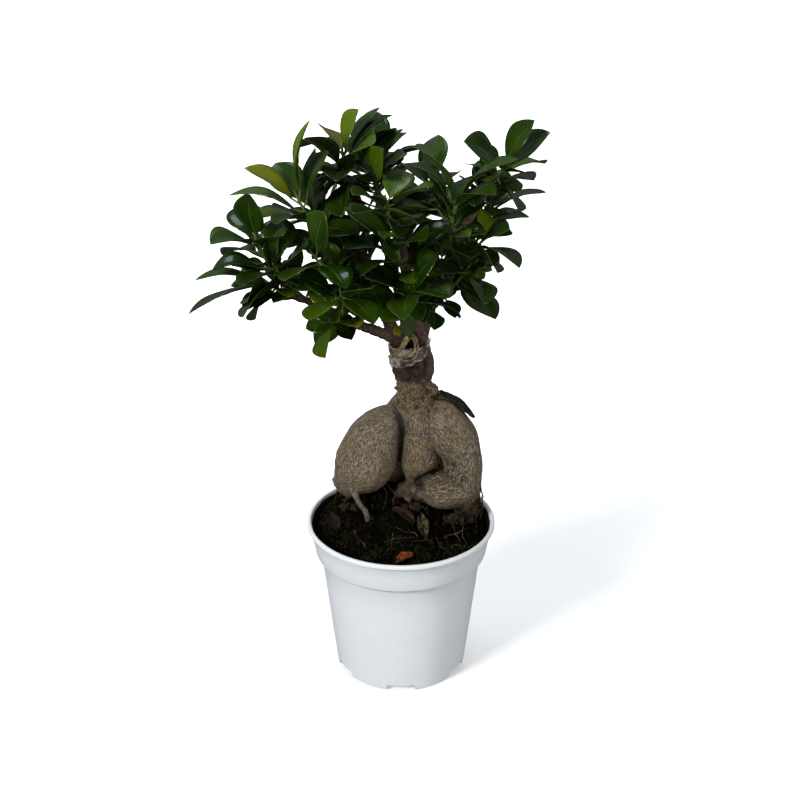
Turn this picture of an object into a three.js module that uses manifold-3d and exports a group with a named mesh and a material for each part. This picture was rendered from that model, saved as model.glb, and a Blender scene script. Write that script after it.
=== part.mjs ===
// A ficus ginseng bonsai in a white nursery pot, as one scene graph of named solids.
// Millimetres, +Z up. The origin is the centre of the pot's foot, on the surface that it stands on,
// and -Y is the side that the tree is shown from.
//
// The stock is one swollen root mass with a short neck. Three scions are grafted round the top of the neck
// and held by a wrap of clear tape. The scions fork into limbs and twigs, and every twig ends in a leafy
// shoot: a green stem with its leaves, which is a node of its own.

import * as THREE from 'three';
import { mergeVertices } from 'three/addons/utils/BufferGeometryUtils.js';
import Module from 'manifold-3d';

const wasm = await Module();
wasm.setup();

// Driving dimensions

const GAP = 0.3; // between pieces that touch, so that their faceted walls stay apart
const UP = new THREE.Vector3(0, 0, 1);
const GOLDEN_ANGLE = THREE.MathUtils.degToRad(137.5); // between one leaf and the next round a stem

const POT = {
  height: 104,
  rimRadius: 60,
  footRadius: 42.5,
  wall: 1.4,
  bandHeight: 21,
  lipHeight: 3,
  floorHeight: 5, // the floor is raised on a foot all round, and comes down again in the middle
  hubRadius: 14,
  sides: 30,
  notches: 6,
  notchWidth: 18,
  notchHeight: 4,
  drainHoles: 6,
  drainRadius: 4,
  drainCircle: 27,
};

const SOIL = {
  edge: 95, // height of the surface at the pot's wall
  mound: 22, // how far it is heaped up round the roots
  centre: [-12, 18],
  spread: [36, 24],
  lump: 1.1,
  rings: 4,
  sides: 30,
};

const TAPE = {
  wall: 1.0,
  sides: 12,
  // Middle, height, radius, and how much higher the right side is than the middle, of each ring.
  turns: [
    [5.5, 15.8, 207.5, 11.6, 4.5],
    [5.6, 15.8, 210.5, 12.6, 4],
    [5.4, 15.8, 214, 12.0, 2.6],
    [5.4, 15.8, 218.5, 12.7, 1.6],
  ],
};

// A leaf is measured from its stem to its tip, petiole and all.
const LEAF = {
  length: 37,
  width: 21.5,
  broadest: 0.66, // a leaf's width is at most this share of its length
  petiole: 5.5,
  petioleRadius: 0.8,
  root: 0.2, // how far from the middle of its stem a petiole starts
  thickness: 0.7,
  clearance: 0.45, // kept to every other piece
  flatness: 0.1,
};
const BLADE_STATIONS = [0.2, 0.52, 0.83]; // shares of the blade's length where its outline is stepped

const COLOURS = {
  pot: { color: 0xe9ecef, roughness: 0.45 },
  soil: { color: 0x1d1710, roughness: 0.98 },
  roots: { color: 0x8a7d6b, roughness: 0.85 },
  wood: { color: 0x5b4639, roughness: 0.9 },
  tape: { color: 0xcfc9ba, roughness: 0.3 },
  strand: { color: 0xb09c6c, roughness: 0.8 },
  foliage: { color: 0x22421a, roughness: 0.35 },
  litter: { color: 0x7a4a22, roughness: 0.9 },
};

// Roots: the middle line and radius of each swollen root, from the neck down into the soil.
// A row is x, y, z and radius, and the last rows of each root stand in the soil.

const ROOTS = {
  neck: [
    [14.5, 18.5, 150, 11],
    [13, 17.8, 161, 14],
    [11, 17.5, 171, 15],
    [10, 17, 181, 13.4],
    [8.5, 16, 190, 10.6],
    [6.5, 16, 197, 10.2],
    [5.5, 16, 204, 8.8],
    [5.5, 16, 212, 8],
  ],
  egg: [
    [-1, 17, 169.2, 7.2],
    [-8.2, 15.5, 164.3, 11.9],
    [-14.8, 15, 156.7, 16.7],
    [-19.6, 15, 145.2, 19.1],
    [-24.2, 15, 134, 19.4],
    [-28.5, 15.5, 127, 16.8],
    [-32, 16, 121, 11.5],
    [-31, 19, 113, 7],
    [-30, 22, 98, 5],
  ],
  middle: [
    [9, 21, 178, 7],
    [10.5, 19, 168, 12],
    [11.5, 17.2, 157, 13.5],
    [12, 16.8, 147, 14],
    [12, 17.2, 137, 13.8],
    [12, 19, 128, 11],
    [12, 22, 117, 7.5],
    [12, 25, 98, 6],
  ],
  burl: [
    [-3, 14, 108, 4],
    [2, 13, 117, 5],
    [8, 10, 119, 5.4],
    [14, 10, 115, 5],
    [22, 12, 110, 4],
  ],
  arm: [
    [12, 17.5, 181, 9],
    [22.5, 16, 170.5, 13.2],
    [33, 14, 156, 15],
    [38.8, 11.5, 143, 12.8],
    [40, 8.5, 132, 12],
    [39.5, 7, 122.5, 11.8],
    [42, 11, 110, 9],
    [42, 13, 96, 7],
  ],
  toe: [
    [39, 6.5, 122.5, 11.6],
    [31, 4.5, 121.5, 12.3],
    [22.5, 3.2, 122, 11.8],
    [15.5, 3, 123.2, 7.4],
  ],
  back: [
    [9, 21.5, 180, 7.5],
    [6, 26, 171.5, 11.5],
    [0, 34, 156, 14],
    [-4, 37, 138, 15.5],
    [-6, 38, 118, 13],
    [-6, 38, 98, 8],
  ],
  heel: [
    [16, 28, 166, 10],
    [22, 33, 146, 10.5],
    [25, 34, 124, 9.5],
    [25, 34, 98, 6],
  ],
  feeder: [
    [-30.5, 4, 124, 2.6],
    [-28.5, -3, 120.5, 1.9],
    [-25.5, -6.5, 116, 1.7],
    [-22, -8, 111, 2.1],
    [-21, -8.5, 101, 1.2],
  ],
};
const ROOT_SIDES = { neck: 14, egg: 16, middle: 12, burl: 5, arm: 15, toe: 10, back: 7, heel: 7, feeder: 5 };

// Scions: each is a set of limbs that are grown together. The first limb starts in the graft.

const SCIONS = {
  scion_left: {
    stem: [
      [-0.5, 13, 195, 3.4],
      [-0.5, 13, 207, 3.9],
      [-1.5, 12.5, 220, 3.9],
      [-6, 10, 231, 3.7],
      [-12, 7, 244, 3.2],
      [-18, 4, 262, 2.7],
      [-25, 3, 285, 2.3],
      [-31, 9, 312, 1.9],
    ],
    low: [
      [-2, 12, 221, 3.4],
      [-13, 8, 228, 3.1],
      [-27, 1, 236, 2.7],
      [-40, -4, 245, 2.5],
      [-52, -6, 252, 2.2],
      [-64, -8, 257, 1.9],
    ],
  },
  scion_right: {
    stem: [
      [11.5, 13, 195, 3.4],
      [11.5, 13, 207, 4.0],
      [12, 13, 220, 4.0],
      [16, 13, 236, 3.8],
      [22, 12, 256, 3.3],
      [30, 12, 276, 2.8],
      [40, 15, 296, 2.4],
      [50, 19, 312, 2.0],
    ],
    heel: [
      [14, 13, 191, 2.6],
      [16.5, 12.5, 199, 3.6],
      [16.5, 12.5, 208, 3.8],
      [14, 13, 217, 2.6],
    ],
    middle: [
      [12, 12, 222, 3.6],
      [8, 7, 238, 3.4],
      [5, 1, 255, 3.0],
      [3, -4, 275, 2.6],
      [-2, -2, 296, 2.2],
      [-11, 6, 312, 1.9],
    ],
  },
  scion_back: {
    stem: [
      [5.5, 22.8, 195, 3.2],
      [5.5, 22.8, 207, 3.6],
      [4.5, 23.5, 220, 3.6],
      [0, 32, 240, 3.3],
      [-6, 41, 260, 2.9],
      [-12, 48, 282, 2.4],
      [-14, 52, 304, 1.9],
    ],
    side: [
      [4, 25, 225, 3.2],
      [14, 36, 242, 2.8],
      [28, 45, 258, 2.4],
      [40, 50, 274, 2.1],
    ],
  },
};
const WOOD_SIDES = 6;

// Leafy shoots. A twig leaves its limb at a share of the limb's length and ends at the tip. `rise` is the
// share of its climb that it makes early: a low one turns up at its end, and one above 1 hangs.
// A leaf's row is the share of the twig that it springs from, the place of its tip in millimetres right,
// back and up from the twig's tip, and how far it is rolled about its midrib, in degrees.
// `more` leaves follow round the stem by the golden angle, where the shoot isn't seen from the front.

const SHOOTS = [
  {
    name: 'shoot_upper_left',
    from: ['scion_left', 'stem', 0.8],
    tip: [-58, -10, 315],
    rise: 0.3,
    more: 2,
    leaves: [
      [1.0, 8, 0, 45, -5],
      [0.96, -30, 0, 18, 0],
      [0.92, 18, -3, 28, 15],
      [0.88, -40, 1, 2, 10],
      [0.84, -30, 1, 4, 5],
      [0.8, -13, -28, -5, 0],
      [0.76, -19, 28, -15, 35],
      [0.72, 4, 12, 27, -30],
      [0.68, 5, 31, 6, -50],
      [0.64, -8, 18, 8, 50],
    ],
  },
  {
    name: 'shoot_top_left',
    from: ['scion_left', 'stem', 0.97],
    tip: [-34, 18, 336],
    rise: 0.6,
    more: 2,
    leaves: [
      [1.0, -28, 24, -3, 10],
      [0.96, -18, 30, 3, 25],
      [0.92, 10, -10, 26, 70],
      [0.88, 29, 4, 20, 10],
      [0.84, 18, -26, 15, 30],
      [0.8, -25, -17, -29, 5],
      [0.6, -17, -34, -26, 25],
      [0.76, -12, -32, -2, 0],
      [0.72, -6, -32, -14, 40],
      [0.68, -18, 27, -23, 0],
    ],
  },
  {
    name: 'shoot_top_middle',
    from: ['scion_right', 'middle', 0.99],
    tip: [-16, 12, 323],
    rise: 0.4,
    more: 2,
    leaves: [
      [0.98, 7, -26, 25, 105],
      [0.94, 18, -14, 16, 30],
      [0.9, -17, 29, -11, 10],
      [0.82, 15, 29, -5, -5],
      [0.86, -14, 29, -5, 20],
    ],
  },
  {
    name: 'shoot_front_middle',
    from: ['scion_right', 'middle', 0.66],
    tip: [-8, -22, 316],
    rise: 0.5,
    more: 0,
    leaves: [
      [1.0, 3, 30, 10, 15],
      [0.96, 25, -21, 15, -10],
      [0.92, -18, -27, 12, -10],
      [0.88, -16, 32, -8, 35],
      [0.84, -18, -28, 2, 0],
      [0.8, 6, -22, -13, -40],
      [0.76, 14, -26, -3, -25],
    ],
  },
  {
    name: 'shoot_right_middle',
    from: ['scion_right', 'stem', 0.8],
    tip: [17, 22, 314],
    rise: 0.2,
    more: 3,
    leaves: [
      [1.0, -15, 30, 7, 15],
      [0.96, 9, -25, 25, 45],
      [0.92, 17, 29, 2, 0],
      [0.88, -15, -30, 10, -30],
      [0.84, 10, -31, -6, -50],
      [0.8, -10, 29, -20, 5],
    ],
  },
  {
    name: 'shoot_right_front',
    from: ['scion_right', 'stem', 0.62],
    tip: [30, -16, 320],
    rise: 0.4,
    more: 2,
    leaves: [
      [1.0, -23, -21, 31, -10],
      [0.96, 33, -17, 23, 0],
      [0.92, 20, -24, 10, 5],
      [0.88, 17, 33, 3, -35],
      [0.84, 11, 34, -25, -5],
      [0.8, -13, -21, 8, -40],
    ],
  },
  {
    name: 'shoot_top_right',
    from: ['scion_right', 'stem', 0.98],
    tip: [59, 14, 327],
    rise: 0.8,
    more: 1,
    leaves: [
      [1.0, -24, -20, 20, -30],
      [0.96, 16, -11, 30, 75],
      [0.92, 25, -11, 23, 35],
      [0.88, 27, 25, -3, -20],
      [0.58, 15, -28, 0, 15],
      [0.84, -8, -22, -2, 50],
      [0.8, -20, 19, -2, 0],
      [0.62, -19, -29, -13, 40],
      [0.66, 4, -29, -14, -30],
    ],
  },
  {
    name: 'shoot_right',
    from: ['scion_right', 'stem', 0.66],
    tip: [45, 2, 289],
    rise: 0.3,
    more: 1,
    leaves: [
      [1.0, 7, 30, 11, 20],
      [0.76, 16, -23, 12, 40],
      [0.88, 18, -29, -1, -5],
      [0.8, 10, -25, -13, -30],
      [0.72, -25, -25, 6, 10],
      [0.92, -12, 31, -4, 15],
      [0.84, -9, 31, 2, 30],
    ],
  },
  {
    name: 'shoot_right_low',
    from: ['scion_right', 'stem', 0.45],
    tip: [38, -8, 273],
    rise: 0.9,
    more: 3,
    leaves: [
      [1.0, -16, -30, 8, 15],
      [0.96, 9, -29, -11, -15],
      [0.92, 7, 20, -18, 20],
    ],
  },
  {
    name: 'shoot_front_low',
    from: ['scion_right', 'middle', 0.3],
    tip: [5, -28, 267],
    rise: 0.7,
    more: 1,
    leaves: [
      [1.0, 15, -20, 27, 5],
      [0.96, -3, -29, -7, 20],
      [0.92, 22, -26, 5, -20],
      [0.64, 25, 34, -23, -25],
      [0.6, 1.7, 22, -32.5, 135],
      [0.88, -22, -23, 12, 15],
      [0.84, -25, 28, -18, 15],
      [0.8, -20, 30, -24, 15],
    ],
  },
  {
    name: 'shoot_left',
    from: ['scion_left', 'low', 0.9],
    tip: [-82, -16, 293],
    rise: 0.4,
    more: 3,
    leaves: [
      [1.0, -1, -18, 32, 125],
      [0.96, -22, -28, 6, -15],
      [0.88, -23, 25, -17, 20],
      [0.92, 18, -28, 11, 0],
      [0.84, -16, 31, -1, 45],
    ],
  },
  {
    name: 'shoot_left_middle',
    from: ['scion_left', 'low', 0.66],
    tip: [-73, -18, 281],
    rise: 0.4,
    more: 2,
    leaves: [
      [0.96, -22, 28, -9, 30],
      [1.0, -4, -19, 15, -100],
      [0.92, 10, -14, 15, 35],
      [0.88, -15, -29, 0, 0],
      [0.84, 22, -20, 16, 10],
      [0.8, 17, -28, -4, -35],
    ],
  },
  {
    name: 'shoot_left_low',
    from: ['scion_left', 'low', 0.98],
    tip: [-78, -12, 267],
    rise: 0.8,
    more: 1,
    leaves: [
      [1.0, -41, -30, -9, 5],
      [0.96, -40, -6, 3, 10],
      [0.92, -23, 0, 0, 15],
      [0.6, -11, -29, -11, 15],
      [0.64, -10, 22, -31, 0],
      [0.68, 12, -21, -3, -50],
      [0.72, 1, -29, 4, 15],
    ],
  },
  {
    name: 'shoot_front_left',
    from: ['scion_left', 'stem', 0.62],
    tip: [-48, -30, 287],
    rise: 0.6,
    more: 2,
    leaves: [
      [1.0, 7, -18, 31, 45],
      [0.96, 18, -29, -8, -30],
      [0.92, -16, -28, -4, 10],
      [0.88, 11, 34, 0, -35],
      [0.84, -16, 33, -18, 30],
    ],
  },
  {
    name: 'shoot_low_left',
    from: ['scion_left', 'low', 0.5],
    tip: [-34, -34, 267],
    rise: 0.6,
    more: 1,
    leaves: [
      [0.96, -16, -29, -5, 30],
      [0.92, -1, -20, -5, 55],
      [1.0, 19, -30, -7, -20],
      [0.88, -12, 33, -2, 40],
      [0.84, 13, -26, 6, -10],
    ],
  },
  {
    name: 'shoot_low_left_hanging',
    from: ['scion_left', 'low', 0.42],
    tip: [-37, -28, 250],
    rise: 1.2,
    more: 0,
    leaves: [
      [1.0, -5, -30, -12, 45],
      [0.96, 13, -22, 3, -50],
    ],
  },
  {
    name: 'shoot_middle_low',
    from: ['scion_left', 'stem', 0.46],
    tip: [-25, -10, 276],
    rise: 0.5,
    more: 4,
    leaves: [
      [1.0, 3, -28, -2, -65],
      [0.94, -5, -24, -10, 35],
      [0.9, 16, -28, -1, -20],
      [0.86, -15, 32, -1, 40],
      [0.82, -9, -27, 3, -15],
    ],
  },
  {
    name: 'shoot_middle',
    from: ['scion_right', 'middle', 0.46],
    tip: [-2, -24, 292],
    rise: 0.5,
    more: 2,
    leaves: [
      [0.72, -8, -24, 9, -55],
      [0.94, 15, -29, 12, 5],
      [1.0, 7, -24, 4, -35],
      [0.9, -18, -28, 0, 0],
      [0.76, 12, -25, -7, -35],
      [0.8, -14, -26, -10, 20],
    ],
  },
  {
    name: 'shoot_back_middle',
    from: ['scion_left', 'stem', 0.72],
    tip: [-24, 36, 295],
    rise: 0.4,
    more: 4,
    leaves: [
      [1.0, -14, -30, 7, 5],
      [0.96, -13, -31, 13, -20],
      [0.86, -20, -32, -19, 5],
      [0.82, -16, -35, -5, 10],
      [0.9, -6, -33, -10, 30],
      [0.78, 15, -36, 1, 10],
    ],
  },
  {
    name: 'shoot_back_left',
    from: ['scion_back', 'stem', 0.62],
    tip: [-50, 56, 288],
    rise: 0.5,
    more: 9,
    leaves: [],
  },
  {
    name: 'shoot_back_top',
    from: ['scion_back', 'stem', 0.98],
    tip: [-18, 52, 320],
    rise: 0.4,
    more: 9,
    leaves: [],
  },
  {
    name: 'shoot_back_right',
    from: ['scion_back', 'side', 0.97],
    tip: [54, 48, 296],
    rise: 0.4,
    more: 9,
    leaves: [],
  },
  {
    name: 'shoot_back_centre',
    from: ['scion_back', 'stem', 0.5],
    tip: [8, 68, 282],
    rise: 0.7,
    more: 9,
    leaves: [],
  },
  {
    name: 'shoot_back_low',
    from: ['scion_back', 'side', 0.6],
    tip: [26, 60, 256],
    rise: 1.0,
    more: 7,
    leaves: [],
  },
  {
    name: 'shoot_back_side',
    from: ['scion_back', 'stem', 0.4],
    tip: [-40, 52, 260],
    rise: 0.9,
    more: 7,
    leaves: [],
  },
];

const TWIG = {
  woodShare: 0.5, // the part of a twig that is woody and belongs to its scion
  baseRadius: 1.6,
  joinRadius: 1.2,
  tipRadius: 0.9,
  leafyShare: 0.42, // the part of a twig, back from its tip, that bears leaves
};

// Where a leaf that would cross another piece is swung to, tried in this order, as shifts of its tip. If
// none is clear, they are tried again with the leaf at a smaller size.
const SWINGS = [
  [0, 0, 0], [0, 6, 0], [0, -6, 0], [0, 0, 5], [0, 0, -5], [5, 0, 0], [-5, 0, 0],
  [0, 12, 0], [0, -12, 0], [5, 7, 0], [-5, 7, 0], [5, -7, 0], [-5, -7, 0],
  [0, 8, 8], [0, -8, 8], [0, 8, -8], [0, -8, -8], [10, 0, 5], [-10, 0, 5], [10, 0, -7], [-10, 0, -7],
  [0, 20, 0], [0, -20, 0], [0, 0, 18], [0, 0, -18], [18, 0, 0], [-18, 0, 0],
];
const SIZES = [1, 0.8, 0.62];

// Dead leaves that lie on the soil or on a root: both ends, width and which way the leaf is humped up.
const LITTER = [
  { name: 'fallen_leaf_front', from: [-3, -44], to: [8, -35], width: 8, arch: 1.6 },
  { name: 'fallen_leaf_middle', from: [-6, -3], to: [8, -11], width: 9, arch: 2.4 },
  { name: 'fallen_leaf_right', from: [12, -3], to: [15, -19], width: 8, arch: 2 },
  { name: 'fallen_leaf_left', from: [-47, 4], to: [-40, -16], width: 10, arch: 2 },
];
const SHOULDER_LEAF = { name: 'dried_leaf', from: [19, 15, 179], to: [41, 13, 161], width: 8, arch: 2.6 };

// Small tools

/** A merged manifold-3d solid of a closed geometry. */
function solidOf(geometry) {
  const bare = new THREE.BufferGeometry();
  bare.setAttribute('position', geometry.getAttribute('position'));
  bare.setIndex(geometry.index);
  const merged = mergeVertices(bare, 1e-4);
  return new wasm.Manifold(
    new wasm.Mesh({
      numProp: 3,
      vertProperties: merged.getAttribute('position').array,
      triVerts: new Uint32Array(merged.index.array),
    }),
  );
}

/** The geometry of a manifold-3d solid, without the corners that stand out of their faces by less than
 *  `flatness`, which its joins leave behind. */
function geometryOf(solid, flatness) {
  const { vertProperties, triVerts } = solid.asOriginal().simplify(flatness).getMesh();
  const geometry = new THREE.BufferGeometry();
  geometry.setAttribute('position', new THREE.BufferAttribute(vertProperties, 3));
  geometry.setIndex(new THREE.BufferAttribute(triVerts, 1));
  geometry.computeVertexNormals();
  return geometry;
}

/** A solid from its points and its faces, each a list of point numbers going round counterclockwise. */
function solidFromFaces(points, faces) {
  const geometry = new THREE.BufferGeometry().setFromPoints(points);
  const fan = (face) => face.slice(2).flatMap((_, i) => [face[0], face[i + 1], face[i + 2]]);
  return solidOf(geometry.setIndex(faces.flatMap(fan)));
}

/** A solid through closed rings of points, with a flat cap at each end. The rings go round counterclockwise
 *  as seen from the last one. */
function loft(rings) {
  const sides = rings[0].length;
  const faces = [];
  for (let k = 0; k + 1 < rings.length; k++) {
    for (let i = 0; i < sides; i++) {
      const j = (i + 1) % sides;
      faces.push([k * sides + i, k * sides + j, (k + 1) * sides + j, (k + 1) * sides + i]);
    }
  }
  const cap = [...Array(sides).keys()];
  faces.push([...cap].reverse());
  faces.push(cap.map((i) => (rings.length - 1) * sides + i));
  return solidFromFaces(rings.flat(), faces);
}

/** A curve through the first three numbers of each row. */
function curveThrough(rows) {
  const points = rows.map(([x, y, z]) => new THREE.Vector3(x, y, z));
  return new THREE.CatmullRomCurve3(points, false, 'catmullrom', 0.5);
}

/** The radius, the fourth number of each row, at the share t of the way along. */
function radiusAlong(rows, t) {
  const place = t * (rows.length - 1);
  const k = Math.min(Math.floor(place), rows.length - 2);
  return THREE.MathUtils.lerp(rows[k][3], rows[k + 1][3], place - k);
}

/** A round limb along a curve, whose section turns as little as it can from one ring to the next. */
function limb(curve, radiusAt, steps, sides, uneven = () => 1) {
  const rings = [];
  const side = new THREE.Vector3(0, -1, 0);
  for (let k = 0; k <= steps; k++) {
    const t = k / steps;
    const centre = curve.getPoint(t);
    const along = curve.getTangent(t);
    side.addScaledVector(along, -side.dot(along)).normalize();
    const across = new THREE.Vector3().crossVectors(along, side);
    const ring = [];
    for (let i = 0; i < sides; i++) {
      const angle = (i / sides) * 2 * Math.PI;
      const radius = radiusAt(t) * uneven(t, angle);
      ring.push(
        centre
          .clone()
          .addScaledVector(side, radius * Math.cos(angle))
          .addScaledVector(across, radius * Math.sin(angle)),
      );
    }
    rings.push(ring);
  }
  return loft(rings);
}

/** A limb from a table of rows. */
function limbOf(rows, margin, sides, steps = 2 * rows.length, uneven = () => 1) {
  return limb(curveThrough(rows), (t) => radiusAlong(rows, t) + margin, steps, sides, uneven);
}

/** A repeatable draw between 0 and 1, the same in any language with whole numbers. */
function seededDraw(seed) {
  let state = seed;
  return () => {
    state = (state * 16807) % 2147483647;
    return state / 2147483647;
  };
}

/** The largest of a solid's separate bodies. */
function largestOf(solid) {
  return solid.decompose().sort((a, b) => b.volume() - a.volume())[0];
}

/** Adds a named mesh to the tree. */
const tree = new THREE.Group();
tree.name = 'ficus_ginseng_bonsai';
function addPiece(name, solid, finish, flatness = 0.02) {
  const material = new THREE.MeshStandardMaterial({ metalness: 0, ...finish });
  const piece = new THREE.Mesh(geometryOf(solid, flatness), material);
  piece.name = name;
  tree.add(piece);
}

// Pot and soil

/** Outside radius of the pot's plain wall at height z. */
function wallRadius(z) {
  const top = POT.height - POT.bandHeight;
  return THREE.MathUtils.lerp(POT.footRadius, 51.8, z / top);
}

function potSolid() {
  const { height, rimRadius, wall, bandHeight, lipHeight, floorHeight, hubRadius, sides } = POT;
  const bandFoot = height - bandHeight;
  const bandRadius = 55;
  const footInside = wallRadius(0) - wall - 2.2;
  const profile = [
    [0, 0],
    [hubRadius, 0],
    [hubRadius + 3, floorHeight],
    [footInside, floorHeight],
    [footInside, 0],
    [wallRadius(0), 0],
    [wallRadius(bandFoot - 2), bandFoot - 2],
    [bandRadius, bandFoot],
    [rimRadius - 1.8, height - lipHeight - 0.5],
    [rimRadius, height - lipHeight + 0.3],
    [rimRadius, height - 0.6],
    [rimRadius - 0.8, height],
    [rimRadius - 1.9, height],
    [rimRadius - 1.8 - wall, height - lipHeight],
    [bandRadius - wall, bandFoot + 1],
    [wallRadius(bandFoot - 2) - wall, bandFoot - 2],
    [wallRadius(floorHeight + wall) - wall, floorHeight + wall],
    [hubRadius + 2, floorHeight + wall],
    [hubRadius - 1, wall],
    [0, wall],
  ];
  const lathe = new THREE.LatheGeometry(profile.map(([r, z]) => new THREE.Vector2(r, z)), sides);
  let pot = solidOf(lathe.rotateX(Math.PI / 2));
  for (let i = 0; i < POT.notches; i++) {
    const notch = new THREE.BoxGeometry(POT.notchWidth, 14, 2 * POT.notchHeight);
    notch.translate(0, -POT.footRadius, 0).rotateZ((i / POT.notches) * 2 * Math.PI);
    pot = pot.subtract(solidOf(notch));
  }
  for (let i = 0; i < POT.drainHoles; i++) {
    const hole = new THREE.CylinderGeometry(POT.drainRadius, POT.drainRadius, 6, 8).rotateX(Math.PI / 2);
    hole.translate(POT.drainCircle, 0, floorHeight).rotateZ((i / POT.drainHoles) * 2 * Math.PI);
    pot = pot.subtract(solidOf(hole));
  }
  return pot;
}

/** Height of the soil's surface: a heap round the roots that falls to the wall, with low lumps. */
function soilHeight(x, y) {
  const [cx, cy] = SOIL.centre;
  const [sx, sy] = SOIL.spread;
  const heap = Math.exp(-((x - cx) ** 2 / (2 * sx ** 2) + (y - cy) ** 2 / (2 * sy ** 2)));
  const toWall = Math.min(Math.hypot(x, y) / 57, 1);
  const lumps = Math.sin(0.21 * x + 1.3) * Math.cos(0.26 * y) + 0.6 * Math.sin(0.43 * y - 0.31 * x);
  return SOIL.edge + SOIL.mound * heap * (1 - toWall ** 6) + SOIL.lump * lumps;
}

/** Radius of the soil at height z, inside the pot's wall. */
function soilRadius(z) {
  const bandFoot = POT.height - POT.bandHeight;
  const inner = POT.wall + GAP + 0.25;
  if (z <= bandFoot - 2) return wallRadius(z) - inner;
  return THREE.MathUtils.lerp(51.5, 55.5, (z - bandFoot + 2) / (POT.bandHeight - 2)) - GAP;
}

function soilSolid() {
  const { rings, sides } = SOIL;
  const foot = POT.floorHeight + POT.wall + GAP;
  const shoulder = POT.height - POT.bandHeight - 2;
  const around = (radius, z) =>
    [...Array(sides).keys()].map((i) => {
      const angle = (i / sides) * 2 * Math.PI;
      const x = radius * Math.cos(angle);
      const y = radius * Math.sin(angle);
      return new THREE.Vector3(x, y, z ?? soilHeight(x, y));
    });
  const layers = [
    around(POT.hubRadius - 1.5, POT.wall + GAP),
    around(POT.hubRadius + 1, foot),
    around(soilRadius(foot), foot),
    around(soilRadius(shoulder), shoulder),
    around(soilRadius(SOIL.edge - 2), SOIL.edge - 2),
  ];
  for (let k = rings; k >= 1; k--) layers.push(around((soilRadius(SOIL.edge) * k) / rings));
  const points = layers.flat();
  const faces = [];
  for (let k = 0; k + 1 < layers.length; k++) {
    for (let i = 0; i < sides; i++) {
      const j = (i + 1) % sides;
      const [a, b] = [k * sides + i, k * sides + j];
      const [c, d] = [(k + 1) * sides + j, (k + 1) * sides + i];
      faces.push([a, b, c], [a, c, d]);
    }
  }
  const last = (layers.length - 1) * sides;
  points.push(new THREE.Vector3(0, 0, soilHeight(0, 0)));
  for (let i = 0; i < sides; i++) faces.push([last + i, last + ((i + 1) % sides), points.length - 1]);
  faces.push([...Array(sides).keys()].reverse());
  return solidFromFaces(points, faces);
}

// Roots, scions, tape

/** The swollen roots and the neck as one grown body, `margin` fatter all over. */
function rootSolid(margin) {
  const swell = (t, angle) => 1 + 0.035 * Math.sin(3 * angle + 5 * t) + 0.025 * Math.sin(2 * angle - 7 * t);
  const grown = Object.entries(ROOTS).map(([name, rows]) => {
    const steps = Math.round((name === 'egg' || name === 'arm' ? 1.5 : 1) * rows.length);
    return limbOf(rows, margin, ROOT_SIDES[name], steps, name === 'feeder' ? () => 1 : swell);
  });
  return wasm.Manifold.union(grown);
}

/** The line of a shoot's twig from its limb to its tip. */
function twigCurve(shoot) {
  const [scion, limbName, share] = shoot.from;
  const start = curveThrough(SCIONS[scion][limbName]).getPoint(share);
  const tip = new THREE.Vector3(...shoot.tip);
  const reach = tip.clone().sub(start);
  const turn = reach.clone().multiply(new THREE.Vector3(1, 1, shoot.rise)).multiplyScalar(0.6).add(start);
  return new THREE.QuadraticBezierCurve3(start, turn, tip);
}

/** The share of a curve between two of its own shares. */
function stretchOf(curve, from, to) {
  const stretch = new THREE.Curve();
  stretch.getPoint = (t) => curve.getPoint(THREE.MathUtils.lerp(from, to, t));
  stretch.getTangent = (t) => curve.getTangent(THREE.MathUtils.lerp(from, to, t));
  return stretch;
}

/** One scion with its limbs and the woody part of its twigs, `margin` fatter all over. */
function scionSolid(name, margin) {
  const grown = Object.values(SCIONS[name]).map((rows) => limbOf(rows, margin, WOOD_SIDES, rows.length));
  for (const shoot of SHOOTS.filter(({ from }) => from[0] === name)) {
    const wood = stretchOf(twigCurve(shoot), 0, TWIG.woodShare);
    const radius = (t) => THREE.MathUtils.lerp(TWIG.baseRadius, TWIG.joinRadius, t) + margin;
    grown.push(limb(wood, radius, 2, 5));
  }
  return wasm.Manifold.union(grown);
}

/** The wrap of tape round the graft: a thin sleeve, uneven and slanting, that holds neck and scions. */
function tapeSolid(margin) {
  const { sides, wall, turns } = TAPE;
  const sleeve = (extra, past) =>
    loft(
      turns.map(([x, y, z, radius, lift], k) => {
        const end = k === 0 ? -past : k === turns.length - 1 ? past : 0;
        return [...Array(sides).keys()].map((i) => {
          const angle = (i / sides) * 2 * Math.PI;
          const right = Math.cos(angle);
          const back = Math.sin(angle);
          const reach = radius + extra;
          return new THREE.Vector3(x + reach * right, y + reach * back, z + lift * right + end);
        });
      }),
    );
  return sleeve(margin, margin).subtract(sleeve(-wall - margin, 3));
}

/** The dry strand tied over the tape: a flat strip up the front of the graft. */
function strandSolid() {
  const line = curveThrough([
    [-7.2, 12, 209.5],
    [-4, 7.2, 214],
    [-0.8, 4.1, 218.5],
    [2.2, 2.6, 223.5],
    [3.8, 2.8, 230],
  ]);
  const flat = (t, angle) => 1 / Math.hypot(Math.cos(angle) / 0.55, Math.sin(angle) / 1.25);
  return limb(line, () => 1.5, 7, 6, flat);
}

// Leaves

/** Half the width of a blade at the share t of its length, as a share of the greatest half width. */
function bladeOutline(t) {
  return Math.sin(Math.PI * t ** 1.05) ** 0.7;
}

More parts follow.
